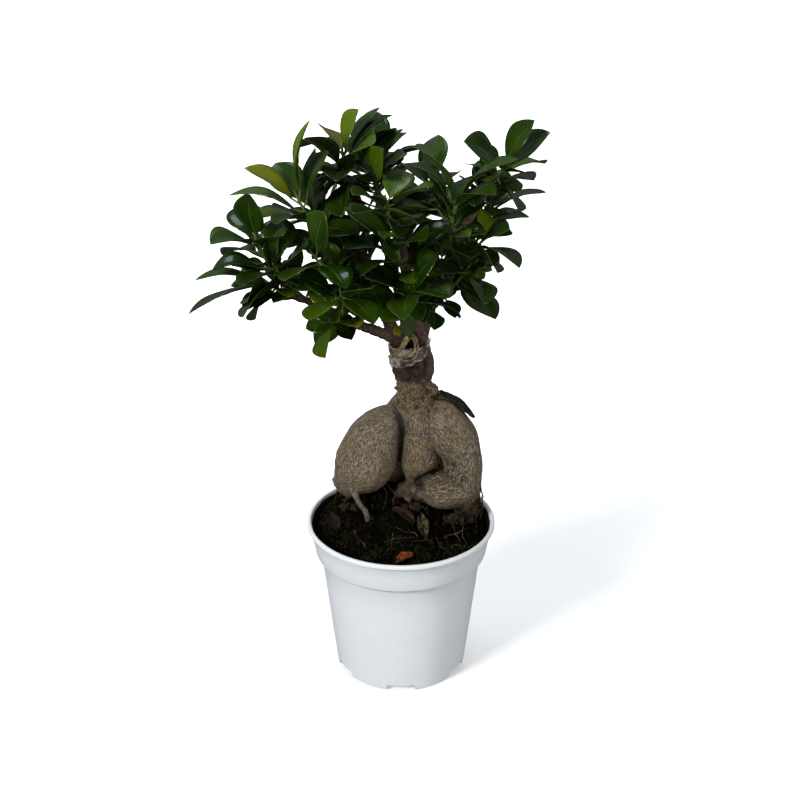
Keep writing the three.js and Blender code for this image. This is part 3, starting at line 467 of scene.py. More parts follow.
def points_of(piece: bpy.types.Object) -> np.ndarray:
    """Return a piece's points in millimetres, one row each."""
    flat = np.empty(3 * len(piece.data.vertices), np.float32)
    piece.data.vertices.foreach_get("co", flat)
    return flat.reshape(-1, 3).astype(float) / MM


def normals_of(piece: bpy.types.Object) -> np.ndarray:
    """Return the normals at a piece's points, one row each."""
    flat = np.empty(3 * len(piece.data.vertices), np.float32)
    piece.data.vertex_normals.foreach_get("vector", flat)
    return flat.reshape(-1, 3).astype(float)


def move_points(piece: bpy.types.Object, points: np.ndarray) -> None:
    """Put a piece's points at these places, in millimetres."""
    piece.data.vertices.foreach_set("co", (points * MM).astype(np.float32).ravel())
    piece.data.update()


def mark(piece: bpy.types.Object, name: str, *numbers: np.ndarray) -> None:
    """Store three numbers at each point, for the piece's material to read.

    Args:
        piece: the piece that is marked.
        name: what the material calls the numbers.
        numbers: up to three of them, each with a value for every point; those left out are 0.
    """
    values = np.zeros((len(piece.data.vertices), 3), np.float32)
    for column, number in enumerate(numbers):
        values[:, column] = number
    piece.data.attributes.new(name, "FLOAT_VECTOR", "POINT").data.foreach_set("vector", values.ravel())


def lay_map(piece: bpy.types.Object, shape: np.ndarray) -> None:
    """Give blades their own map, along and across each one, from the blank that they are copies of."""
    layer = piece.data.uv_layers.new(name="blade")
    loops = np.empty(len(piece.data.loops), np.int32)
    piece.data.loops.foreach_get("vertex_index", loops)
    flat = np.column_stack((shape[:, 0], 0.5 + 0.5 * shape[:, 1]))
    layer.data.foreach_set("uv", flat[loops % len(shape)].astype(np.float32).ravel())


def taken_apart(pattern: bpy.types.Object) -> tuple[np.ndarray, list[tuple[int, ...]]]:
    """Return a pattern's points, in metres, and its faces, and remove it."""
    shape = points_of(pattern) * MM
    faces = [tuple(face.vertices) for face in pattern.data.polygons]
    bpy.data.objects.remove(pattern)
    return shape, faces


def mesh_piece(name: str, points: np.ndarray, faces: Iterable[Sequence[int]]) -> bpy.types.Object:
    """Make a piece of points in millimetres and faces.

    Args:
        name: the piece's name.
        points: one row of x, y, z for each point.
        faces: the numbers of each face's points, counterclockwise from outside.

    Returns:
        The new piece, in the scene.
    """
    mesh = bpy.data.meshes.new(name)
    mesh.from_pydata((np.asarray(points) * MM).tolist(), [], [list(map(int, face)) for face in faces])
    return in_scene(name, mesh)


def ball(place: Sequence[float], radius: float, fineness: int = 3) -> bpy.types.Object:
    """Make a ball of even triangles from its place and its radius, in millimetres."""
    centre = [v * MM for v in place]
    bpy.ops.mesh.primitive_ico_sphere_add(subdivisions=fineness, radius=radius * MM, location=centre)
    return bpy.context.object


def limb(
    name: str, line: np.ndarray, radii: Sequence[float], resolution: int, flat: float = 1.0
) -> bpy.types.Object:
    """Model a round or flattened limb along a line, closed at both ends.

    Args:
        name: the limb's name.
        line: the points of its middle, in millimetres.
        radii: its radius at each point, in millimetres.
        resolution: 0 for four sides, and two more for each one above.
        flat: its thickness as a share of its width.

    Returns:
        The limb as a mesh.
    """
    curve = bpy.data.curves.new(name, "CURVE")
    curve.dimensions = "3D"
    curve.twist_mode = "MINIMUM"
    curve.bevel_depth = MM
    curve.bevel_resolution = resolution
    curve.use_fill_caps = True
    spline = curve.splines.new("POLY")
    spline.points.add(len(line) - 1)
    for point, place, radius in zip(spline.points, line, radii):
        point.co = (*(place * MM), 1.0)
        point.radius = radius
    select_only(in_scene(name, curve))
    bpy.ops.object.convert(target="MESH")
    piece = bpy.context.object
    if flat != 1.0:
        points = points_of(piece)
        nearest = np.argmin(np.linalg.norm(points[:, None] - line[None], axis=2), axis=1)
        depth = (points - line[nearest])[:, 1:2] * np.array((0.0, 1.0, 0.0))
        move_points(piece, points - depth * (1.0 - flat))
    return piece


def hand_over(
    piece: bpy.types.Object, slot: str, *nodes: str, smooth: float | None = 180.0
) -> bpy.types.Object:
    """Shade a finished piece, hide the nodes that it stands for, put it under the root body, and report it.

    Args:
        piece: the finished piece.
        slot: not used.
        nodes: the nodes that it stands for, if any.
        smooth: edges sharper than this many degrees stay sharp, or None for flat faces.

    Returns:
        The same piece.
    """
    select_only(piece)
    if smooth is None:
        bpy.ops.object.shade_flat()
    elif smooth >= 180.0:
        bpy.ops.object.shade_smooth()
    else:
        bpy.ops.object.shade_smooth_by_angle(angle=math.radians(smooth))
    if nodes:
        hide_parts(*nodes)
    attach(piece, BODY)
    log.info("%s: %d faces", piece.name, len(piece.data.polygons))
    return piece


# Finishes


@dataclass(frozen=True)
class Signal:
    """What a node puts out, to be reckoned with in few words."""

    socket: bpy.types.NodeSocket

    def maths(self, operation: str, *others: object) -> Signal:
        """Add a Math node that takes this value first."""
        made = self.socket.id_data.nodes.new("ShaderNodeMath")
        made.operation = operation
        return Signal(fed(made, self, *others).outputs[0])

    def __add__(self, other: object) -> Signal:
        """Return the sum."""
        return self.maths("ADD", other)

    def __sub__(self, other: object) -> Signal:
        """Return the difference."""
        return self.maths("SUBTRACT", other)

    def __mul__(self, other: object) -> Signal:
        """Return the product."""
        return self.maths("MULTIPLY", other)

    def __abs__(self) -> Signal:
        """Return the value without its sign."""
        return self.maths("ABSOLUTE")

    def scaled(self, factor: object, shift: object) -> Signal:
        """Return the value times a factor, plus a shift."""
        return self.maths("MULTIPLY_ADD", factor, shift)

    def rest(self) -> Signal:
        """Return what is left of 1."""
        return self.scaled(-1.0, 1.0)

    def ramp(self, low: float, high: float) -> Signal:
        """Return a smooth rise from 0 where the value is low to 1 where it is high."""
        made = self.socket.id_data.nodes.new("ShaderNodeMapRange")
        made.interpolation_type = "SMOOTHSTEP"
        return Signal(fed(made, self, low, high).outputs["Result"])

    def between(self, first: object, second: object) -> Signal:
        """Return the colour that lies this share of the way from the first to the second."""
        made = self.socket.id_data.nodes.new("ShaderNodeMix")
        made.data_type = "RGBA"
        for socket, value in ((made.inputs[0], self), (made.inputs[6], first), (made.inputs[7], second)):
            feed(socket, value)
        return Signal(made.outputs[2])


def feed(socket: bpy.types.NodeSocket, value: object) -> None:
    """Link a signal to an input, or set the input to a number, a vector or a shade."""
    if isinstance(value, Signal):
        socket.id_data.links.new(value.socket, socket)
    elif socket.type == "RGBA":
        socket.default_value = (*value, 1.0)
    else:
        socket.default_value = value


def fed(node: bpy.types.Node, *values: object) -> bpy.types.Node:
    """Feed a node's first inputs in their order, and return the node."""
    for socket, value in zip(node.inputs, values):
        feed(socket, value)
    return node


def layered(base: Signal, *layers: tuple[Signal, Shade]) -> Signal:
    """Lay shades over a base colour, one after the other, each by its own share."""
    for share, shade in layers:
        base = share.between(base, shade)
    return base


class Wiring:
    """A material's or a group's nodes, added in few words."""

    def __init__(self, tree: bpy.types.NodeTree) -> None:
        """Take the tree that is wired."""
        self.tree = tree

    def node(self, kind: str, **settings: object) -> bpy.types.Node:
        """Add a node.

        Args:
            kind: its type, without the leading ShaderNode.
            settings: its settings, and its inputs by name with _ for a space.

        Returns:
            The new node.
        """
        made = self.tree.nodes.new("ShaderNode" + kind)
        for name, value in settings.items():
            if hasattr(made, name):
                setattr(made, name, value)
            else:
                feed(made.inputs[name.replace("_", " ")], value)
        return made

    def signal(self, kind: str, output: str | int, **settings: object) -> Signal:
        """Add a node in the same way, and return one of the things that it puts out."""
        return Signal(self.node(kind, **settings).outputs[output])

    def parts(self, vector: Signal) -> tuple[Signal, ...]:
        """Return a vector's three numbers."""
        return tuple(map(Signal, self.node("SeparateXYZ", Vector=vector).outputs))

    def place(self) -> Signal:
        """Return the point's own place on the piece."""
        return self.signal("TexCoord", "Object")

    def marked(self, name: str) -> tuple[Signal, ...]:
        """Return the three numbers, and all three as one vector, that a piece is marked with."""
        store = self.signal("Attribute", "Vector", attribute_type="GEOMETRY", attribute_name=name)
        return (*self.parts(store), store)

    def blade(self) -> tuple[Signal, Signal]:
        """Return the share along a leaf, and how far out from its midrib the point is, from 0 to 1."""
        along, across, _ = self.parts(self.signal("UVMap", "UV", uv_map="blade"))
        return along, abs(across.scaled(2.0, -1.0))

    def pattern(self, place: Signal, scale: float, detail: float, roughness: float,
                stretch: tuple[float, float, float] = (1.0, 1.0, 1.0)) -> Signal:
        """Add noise over a place.

        Args:
            place: where the noise is read.
            scale: how fine it is, per metre.
            detail: how many finer layers it has.
            roughness: how strong these are.
            stretch: how much finer it is along each axis.

        Returns:
            The noise, from 0 to 1.
        """
        mapped = self.signal("Mapping", 0, Vector=place, Scale=stretch)
        return self.signal("TexNoise", "Fac", Vector=mapped, Scale=scale, Detail=detail, Roughness=roughness)

    def streaked(self, place: Signal, fineness: float) -> dict[str, Signal]:
        """Return what the group for long grain puts out, by name."""
        tree = shared_group("long_grain", long_grain)
        made = self.node("Group", node_tree=tree, Place=place, Fineness=fineness)
        return {output.name: Signal(output) for output in made.outputs}

    def mottled(self, fineness: float) -> tuple[Signal, Signal]:
        """Return the fine grain and the broad cloud of the group for mottling."""
        tree = shared_group("mottling", mottling)
        made = self.node("Group", node_tree=tree, Place=self.place(), Fineness=fineness)
        return Signal(made.outputs["Grain"]), Signal(made.outputs["Cloud"])

    def relief(self, height: Signal, depth: float) -> Signal:
        """Return the normal of a surface that a height raises, to a depth in metres."""
        return self.signal("Bump", "Normal", Strength=1.0, Distance=depth, Height=height)


def shared_group(name: str, inside: Callable[[Wiring, Signal], dict[str, Signal]]) -> bpy.types.NodeTree:
    """Find a shader group, or build it at its first use.

    Args:
        name: what the group is called.
        inside: wires the group from a place that is scaled by its fineness.

    Returns:
        The group, from a place and a fineness to what its inside gives.
    """
    found = bpy.data.node_groups.get(name)
    if found:
        return found
    group = bpy.data.node_groups.new(name, "ShaderNodeTree")
    group.interface.new_socket("Place", in_out="INPUT", socket_type="NodeSocketVector")
    group.interface.new_socket("Fineness", in_out="INPUT", socket_type="NodeSocketFloat")
    given = group.nodes.new("NodeGroupInput").outputs
    wiring = Wiring(group)
    place, fineness = Signal(given["Place"]), Signal(given["Fineness"])
    results = inside(wiring, wiring.signal("VectorMath", 0, operation="SCALE", Vector=place, Scale=fineness))
    for label in results:
        group.interface.new_socket(label, in_out="OUTPUT", socket_type="NodeSocketFloat")
    ends = group.nodes.new("NodeGroupOutput").inputs
    for label, value in results.items():
        feed(ends[label], value)
    return group


def long_grain(wiring: Wiring, place: Signal) -> dict[str, Signal]:
    """Wire bark that is wrinkled lengthwise: its height, dark flecks, a net of cracks and broad patches."""
    wrinkles = wiring.pattern(place, 1.5, 5.0, 0.62, (1.0, 1.0, 0.24))
    fine = wiring.pattern(place, 3.4, 3.0, 0.6, (1.0, 1.0, 0.45))
    flecks = wiring.pattern(place, 2.3, 4.0, 0.7, (1.0, 1.0, 0.30))
    sway = wiring.signal("TexNoise", "Color", Vector=place, Scale=0.3, Detail=3.0)
    swayed = fed(wiring.node("VectorMath", operation="MULTIPLY_ADD"), sway, (4.0, 4.0, 4.0), place)
    drawn = wiring.signal("Mapping", 0, Vector=Signal(swayed.outputs[0]), Scale=(1.0, 1.0, 0.32))
    net = wiring.signal("TexVoronoi", "Distance", feature="DISTANCE_TO_EDGE", Vector=drawn, Scale=0.95)
    return {
        "Height": wrinkles.scaled(0.6, fine * 0.4),
        "Flecks": flecks.ramp(0.54, 0.64),
        "Cracks": net.ramp(0.01, 0.20).rest() * wrinkles.ramp(0.62, 0.42),
        "Patches": wiring.pattern(place, 0.11, 3.0, 0.5, (1.0, 1.0, 0.6)),
    }


def mottling(wiring: Wiring, place: Signal) -> dict[str, Signal]:
    """Wire fine unevenness all over a surface, and a broad cloud."""
    return {"Grain": wiring.pattern(place, 1.0, 5.0, 0.6), "Cloud": wiring.pattern(place, 0.09, 3.0, 0.5)}


@dataclass(frozen=True)
class Finish:
    """What a surface is made of. Each finish wires its own colour, roughness and relief."""

    name: str

    def material(self) -> bpy.types.Material:
        """Return the finish's material, wired at its first use."""
        found = bpy.data.materials.get(self.name)
        if found:
            return found
        made = bpy.data.materials.new(self.name)
        made.use_nodes = True
        shader = made.node_tree.nodes["Principled BSDF"]
        for label, value in self.wire(Wiring(made.node_tree)).items():
            feed(shader.inputs[label], value)
        return made

    def wire(self, wiring: Wiring) -> dict[str, object]:
        """Return what the shader is fed with, by the name of the input."""
        raise NotImplementedError

    def dress(self, piece: bpy.types.Object) -> bpy.types.Object:
        """Give the whole piece this finish alone, and return it."""
        piece.data.materials.clear()
        piece.data.materials.append(self.material())
        return piece


@dataclass(frozen=True)
class MouldedPlastic(Finish):
    """The pot's satin white plastic, faintly clouded, and dark inside above the soil: soil stain and painted
    shade.
    """

    shade: Shade = (0.84, 0.87, 0.89)
    cloud: Shade = (0.822, 0.852, 0.872)
    stain_and_shade: Shade = (0.016, 0.014, 0.012)

    def wire(self, wiring: Wiring) -> dict[str, object]:
        """Wire a clouded white with a fine satin skin."""
        grain, cloud = wiring.mottled(900.0)
        # The inner wall's dark is part soil stain, part painted shade.
        dirt_and_shade = wiring.marked("skin")[0] + cloud.scaled(1.2, -0.6)
        clouded = cloud.ramp(0.4, 0.75).between(self.shade, self.cloud)
        return {
            "Base Color": layered(clouded, (dirt_and_shade.ramp(0.35, 0.75), self.stain_and_shade)),
            "Roughness": grain.scaled(0.16, 0.36),
            "Normal": wiring.relief(grain, 0.00002),
        }


@dataclass(frozen=True)
class RootBark(Finish):
    """Grey-brown root bark: wrinkled lengthwise, flecked, crusty at the neck, with painted shade in places.
    """

    pale: Shade = (0.350, 0.280, 0.192)
    dark: Shade = (0.170, 0.129, 0.080)
    warm: Shade = (0.190, 0.134, 0.045)
    crust: Shade = (0.172, 0.112, 0.034)
    # Earth brown for random patches, and for the painted shade.
    earth_tone_and_shade: Shade = (0.056, 0.040, 0.010)
    # The neck's top under the film: its own dark colour, deepened with painted shade.
    cap_and_shade: Shade = (0.035, 0.018, 0.012)
    # The dark of the bark's flecks and spots, and of the painted shade in creases and hollows.
    fleck_and_shade: Shade = (0.018, 0.012, 0.008)

    def wire(self, wiring: Wiring) -> dict[str, object]:
        """Wire bark whose grain follows each root, by the marks that the roots carry."""
        neckness, warmth, crease, _ = wiring.marked("zone")
        cap_and_shade, elbow, painted_shade, _ = wiring.marked("skin")
        streaks = wiring.streaked(wiring.marked("grain")[3], 1.0)
        height, cracks, patches = streaks["Height"], streaks["Cracks"], streaks["Patches"]
        spots, _ = wiring.mottled(800.0)
        marks = streaks["Flecks"].maths("MAXIMUM", cracks) * elbow.scaled(0.15, 0.72)
        tint = layered(
            height.ramp(0.38, 0.60).between(self.dark, self.pale),
            (warmth * 0.62, self.warm),
            (patches.ramp(0.45, 0.70) * 0.6, self.warm),
            (patches.ramp(0.46, 0.28) * 0.5, self.earth_tone_and_shade),
            # Painted shade, in earth brown: near the soil, on the burl, beside the creases and in the elbow.
            (painted_shade * 0.85, self.earth_tone_and_shade),
            (neckness * 0.8, self.crust),
            (spots.ramp(0.48, 0.62) * neckness * 0.55, self.pale),
            (marks * neckness.scaled(-0.7, 1.0), self.fleck_and_shade),
            (spots.ramp(0.50, 0.40) * neckness * 0.8, self.fleck_and_shade),
            # Painted shade in the creases between roots and in the hollows of the crust and the elbow.
            (crease * 0.93, self.fleck_and_shade),
            # The top of the neck under the film: its own dark colour, deepened with painted shade under the
            # crown.
            (cap_and_shade, spots.ramp(0.50, 0.74).between(self.cap_and_shade, self.crust)),
        )
        relief = height + cracks * elbow.scaled(-0.7, -0.5) + spots * neckness
        return {
            "Base Color": tint,
            "Roughness": height.scaled(0.25, 0.55),
            "Normal": wiring.relief(relief, 0.0014),
        }


@dataclass(frozen=True)
class TwigBark(Finish):
    """Rough reddish-brown bark of the scions, greener out on the twigs, with painted shade low down by the
    graft.
    """

    pale: Shade = (0.150, 0.080, 0.050)
    dark: Shade = (0.028, 0.014, 0.009)
    green: Shade = (0.050, 0.055, 0.018)

    def wire(self, wiring: Wiring) -> dict[str, object]:
        """Wire bark whose grain runs up the limbs."""
        youth, low_shade, _, _ = wiring.marked("zone")
        spots, _ = wiring.mottled(620.0)
        streaks = wiring.streaked(wiring.place(), 900.0)
        marks = streaks["Flecks"].maths("MAXIMUM", streaks["Cracks"])
        tint = layered(
            spots.ramp(0.40, 0.62).between(self.dark, self.pale),
            # The scions' lower bark, under the crown, is darkened as painted shade.
            (youth * 0.6, self.green), (low_shade * 0.55, self.dark), (marks * 0.55, self.dark),
        )
        return {"Base Color": tint, "Roughness": 0.72, "Normal": wiring.relief(spots, 0.0005)}


@dataclass(frozen=True)
class LeafSkin(Finish):
    """The leaves' waxy skin: dark and glossy above, dull and greyer below, with a pale midrib and margin."""

    deep: Shade = (0.007, 0.022, 0.0008)
    green: Shade = (0.022, 0.053, 0.0016)
    fresh: Shade = (0.070, 0.130, 0.002)
    yellow: Shade = (0.200, 0.200, 0.003)
    olive: Shade = (0.160, 0.100, 0.010)
    under: Shade = (0.040, 0.060, 0.013)
    rib: Shade = (0.080, 0.140, 0.022)
    vein_slant: float = -0.13
    vein_turns: float = 38.0

    def wire(self, wiring: Wiring) -> dict[str, object]:
        """Wire the skin by each leaf's own map, its tone and its side."""
        fresh, yellow, olive, _ = wiring.marked("tone")
        below, chance, _, _ = wiring.marked("side")
        along, out = wiring.blade()
        grain, cloud = wiring.mottled(500.0)
        waves = (out.scaled(self.vein_slant, along) * self.vein_turns).maths("SINE")
        veins = abs(waves).ramp(0.02, 0.22).rest() * out.ramp(0.75, 0.95).rest()
        rib = out.ramp(0.02, 0.07).rest() * along.ramp(0.55, 0.97).rest()
        tint = layered(
            (cloud + chance.scaled(0.4, -0.2)).ramp(0.3, 0.8).between(self.deep, self.green),
            (fresh, self.fresh), (yellow, self.yellow), (olive, self.olive), (below * 0.6, self.under),
            (veins * 0.10, self.rib), (rib * 0.40, self.rib), (out.ramp(0.95, 1.0) * 0.55, self.rib),
        )
        raised = (rib + veins * 0.35) * below.scaled(2.0, -1.0)
        return {
            "Base Color": tint,
            "Roughness": below.scaled(0.25, (chance * chance).scaled(0.22, 0.17)),
            "Specular IOR Level": 0.22,
            "Normal": wiring.relief(grain.scaled(0.15, raised), 0.00025),
        }


@dataclass(frozen=True)
class GreenStem(Finish):
    """Smooth green skin of petioles and young stems, browner towards the wood."""

    green: Shade = (0.085, 0.150, 0.020)
    brown: Shade = (0.085, 0.060, 0.025)

    def wire(self, wiring: Wiring) -> dict[str, object]:
        """Wire green that turns brown with age."""
        age = wiring.marked("tone")[0]
        grain, _ = wiring.mottled(900.0)
        tint = grain.scaled(0.5, age - 0.25).between(self.green, self.brown)
        return {"Base Color": tint, "Roughness": 0.45, "Normal": wiring.relief(grain, 0.00012)}


@dataclass(frozen=True)
class DeadLeaf(Finish):
    """A dry leaf, brown with darker patches and a raised midrib."""

    pale: Shade
    dark: Shade

    def wire(self, wiring: Wiring) -> dict[str, object]:
        """Wire a patchy brown over the leaf's own map."""
        _, out = wiring.blade()
        rib = out.ramp(0.04, 0.14).rest()
        grain, _ = wiring.mottled(420.0)
        patchy = grain.ramp(0.42, 0.6).between(self.dark, self.pale)
        return {
            "Base Color": layered(patchy, (rib * 0.5, self.pale)),
            "Roughness": 0.8,
            "Specular IOR Level": 0.12,
            "Normal": wiring.relief(rib + grain, 0.0006),
        }


@dataclass(frozen=True)
class Earth(Finish):
    """Near black potting soil with brown fibre and dark moss in patches."""

    black: Shade = (0.0014, 0.0010, 0.0007)
    brown: Shade = (0.0052, 0.0032, 0.0018)
    moss: Shade = (0.0026, 0.0043, 0.0008)

    def wire(self, wiring: Wiring) -> dict[str, object]:
        """Wire the soil's patches and its crumbly relief."""
        grain, _ = wiring.mottled(800.0)
        mossy = wiring.pattern(wiring.place(), 45.0, 3.0, 0.6).ramp(0.5, 0.66)
        return {
            "Base Color": layered(grain.ramp(0.45, 0.7).between(self.black, self.brown), (mossy, self.moss)),
            "Roughness": 0.95,
            "Specular IOR Level": 0.02,
            "Normal": wiring.relief(grain, 0.0012),
        }


@dataclass(frozen=True)
class PlainDull(Finish):
    """A dull finish of two shades, for moss, crumbs, rootlets and the dry strand."""

    first: Shade
    second: Shade
    fineness: float = 500.0

    def wire(self, wiring: Wiring) -> dict[str, object]:
        """Wire two shades in small patches."""
        grain, _ = wiring.mottled(self.fineness)
        return {
            "Base Color": grain.ramp(0.38, 0.64).between(self.first, self.second),
            "Roughness": 0.85,
            "Specular IOR Level": 0.06,
            "Normal": wiring.relief(grain, 0.0002),
        }


@dataclass(frozen=True)
class ClearFilm(Finish):
    """Stretched grafting film: thin, whitish where it is crumpled, with the bark showing through."""

    milky: Shade = (0.62, 0.60, 0.53)
    soiled: Shade = (0.16, 0.115, 0.065)

    def wire(self, wiring: Wiring) -> dict[str, object]:
        """Wire a film that is milky at its left and in its folds, and clear and brown at its right."""
        folds = wiring.pattern(wiring.place(), 170.0, 4.0, 0.55, (1.0, 1.0, 1.5))
        right = wiring.parts(wiring.place())[0].ramp(0.004, 0.016)
        milk = right.scaled(-0.10, folds).ramp(0.36, 0.58)
        return {
            "Base Color": milk.between(self.soiled, self.milky),
            "Roughness": 0.16,
            "Alpha": milk.scaled(0.58, 0.24),
            "Normal": wiring.relief(folds, 0.0016),
        }


@dataclass(frozen=True)
class Paper(Finish):
    """White paper that glows more, the farther it is from the pot."""

    glow: float

    def wire(self, wiring: Wiring) -> dict[str, object]:
        """Wire a white that fades out of the pot's shadow."""
        far = wiring.signal("VectorMath", "Value", operation="LENGTH", Vector=wiring.place()).ramp(0.15, 0.75)
        return {
            "Base Color": (0.92, 0.92, 0.92),
            "Roughness": 1.0,
            "Specular IOR Level": 0.0,
            "Emission Color": (1.0, 1.0, 1.0),
            "Emission Strength": far.scaled(0.95 - self.glow, self.glow),
        }


POT_PLASTIC = MouldedPlastic("satin_plastic")
ROOT_BARK = RootBark("wrinkled_bark")
TWIG_BARK = TwigBark("knotty_bark")
LEAF_SKIN = LeafSkin("leaf_skin")
GREEN_STEM = GreenStem("green_stem")
DEAD_LEAF = DeadLeaf("brown_leaf", pale=(0.058, 0.024, 0.009), dark=(0.015, 0.007, 0.004))
RUSTY_LEAF = DeadLeaf("rusty_leaf", pale=(0.30, 0.085, 0.018), dark=(0.085, 0.024, 0.008))
OLIVE_LEAF = DeadLeaf("olive_dead_leaf", pale=(0.090, 0.082, 0.038), dark=(0.022, 0.020, 0.009))
DARK_LEAF = DeadLeaf("dark_dead_leaf", pale=(0.020, 0.012, 0.007), dark=(0.006, 0.004, 0.002))
SHOULDER_LEAF = DeadLeaf("shoulder_dead_leaf", pale=(0.034, 0.031, 0.014), dark=(0.009, 0.008, 0.004))
EARTH = Earth("potting_soil")
MOSS = PlainDull("moss", first=(0.005, 0.008, 0.0014), second=(0.034, 0.046, 0.008))
CRUMBS = PlainDull("crumbs", first=(0.0014, 0.0011, 0.0007), second=(0.017, 0.012, 0.006))
CRUST = PlainDull("neck_crust", first=(0.006, 0.0048, 0.0025), second=(0.034, 0.027, 0.013))
ROOTLETS = PlainDull("rootlets", first=(0.040, 0.028, 0.016), second=(0.140, 0.110, 0.066))
DARK_ROOTLETS = PlainDull("dark_rootlets", first=(0.012, 0.008, 0.005), second=(0.045, 0.031, 0.018))
STRAW = PlainDull("straw", first=(0.210, 0.150, 0.055), second=(0.460, 0.370, 0.190), fineness=380.0)
FILM = ClearFilm("clear_film")


# The pot


@dataclass
class NurseryPot:
    """A round pot with a band under its rolled lip, a notched foot and drain holes."""

    steps: int = 144
    notches: int = 6
    notch: tuple[float, float, float] = (14.0, 18.0, 8.0)
    foot_radius: float = 42.5
    holes: int = 6
    hole_radius: float = 4.0
    hole_circle: float = 27.0
    floor: float = 5.0
    # The heights between which the inner wall is painted dark: a soil stain with painted shade.
    soiled: tuple[float, float] = (6.0, 102.0)
    profile: Rows = (
        (0.0, 0.0), (13.4, 0.0), (14.2, 0.5), (16.6, 4.7), (17.4, 5.0), (38.2, 5.0), (38.9, 4.4), (38.9, 0.4),
        (39.3, 0.0), (42.0, 0.0), (42.5, 0.5), (44.8, 20.0), (47.1, 41.0), (49.4, 62.0), (51.45, 80.6),
        (51.8, 81.3), (54.2, 82.4), (54.8, 83.0), (55.1, 83.9), (56.6, 92.0), (58.2, 100.2), (58.5, 100.7),
        (59.5, 100.9), (59.95, 101.4), (60.0, 102.2), (60.0, 103.2), (59.75, 103.75), (59.2, 104.0),
        (58.5, 104.0), (57.9, 103.75), (57.5, 103.1), (56.9, 101.0), (55.2, 92.0), (53.7, 84.0), (53.2, 82.6),
        (50.5, 81.3), (50.1, 80.6), (48.0, 62.0), (43.4, 20.0), (41.9, 7.0), (41.2, 6.4), (16.4, 6.4),
        (15.6, 6.0), (13.2, 1.8), (12.4, 1.4), (0.0, 1.4),
    )

    def build(self) -> bpy.types.Object:
        """Turn the profile round, cut the foot's notches and the drain holes, and dress the pot.

        Returns:
            The finished pot.
        """
        points = np.array([(radius, 0.0, z) for radius, z in self.profile])
        edges = [(k, k + 1) for k in range(len(points) - 1)]
        mesh = bpy.data.meshes.new("pot_shell")
        mesh.from_pydata((points * MM).tolist(), edges, [])
        pot = in_scene("pot_shell", mesh)
        select_only(pot)
        bpy.ops.object.mode_set(mode="EDIT")
        bpy.ops.mesh.select_all(action="SELECT")
        bpy.ops.mesh.spin(steps=self.steps, angle=2 * math.pi, center=(0, 0, 0), axis=(0, 0, 1))
        bpy.ops.mesh.select_all(action="SELECT")
        bpy.ops.mesh.remove_doubles(threshold=0.00001)
        bpy.ops.mesh.normals_make_consistent(inside=False)
        bpy.ops.object.mode_set(mode="OBJECT")
        cut = pot.modifiers.new("cut", "BOOLEAN")
        cut.operation = "DIFFERENCE"
        cut.solver = "EXACT"
        cut.object = cutter = self.cutters()
        finish_modifiers(pot)
        bpy.data.objects.remove(cutter)
        points = points_of(pot)
        radius = np.hypot(points[:, 0], points[:, 1])
        outside = np.interp(points[:, 2], (0.0, 81.0, 83.0, 101.0, 104.0), (42.5, 51.6, 55.0, 58.3, 60.0))
        low, high = self.soiled
        # Marks the inner wall to be painted dark: a soil stain with painted shade.
        mark(pot, "skin", (radius < outside - 0.9) & (points[:, 2] > low) & (points[:, 2] < high))
        return hand_over(POT_PLASTIC.dress(pot), "pot_plastic", "pot", smooth=32.0)

    def cutters(self) -> bpy.types.Object:
        """Make what is cut out of the foot and the floor.

        Returns:
            The blocks of the notches and the bores of the drain holes, as one piece.
        """
        pieces = []
        for k in range(self.notches):
            angle = 2 * math.pi * k / self.notches - math.pi / 2
            place = (*polar(self.foot_radius * MM, angle), 0.0)
            bpy.ops.mesh.primitive_cube_add(size=1, location=place, rotation=(0, 0, angle))
            block = bpy.context.object
            block.scale = [side * MM for side in self.notch]
            bpy.ops.object.transform_apply(location=True, rotation=True, scale=True)
            soften = block.modifiers.new("soften", "BEVEL")
            soften.width = 0.9 * MM
            soften.segments = 3
            finish_modifiers(block)
            pieces.append(block)
        for k in range(self.holes):
            place = (*polar(self.hole_circle * MM, 2 * math.pi * k / self.holes), self.floor * MM)
            bpy.ops.mesh.primitive_cylinder_add(
                vertices=32, radius=self.hole_radius * MM, depth=6 * MM, location=place
            )
            pieces.append(bpy.context.object)
        return join("cutter", pieces)


# Soil, moss and what lies on it


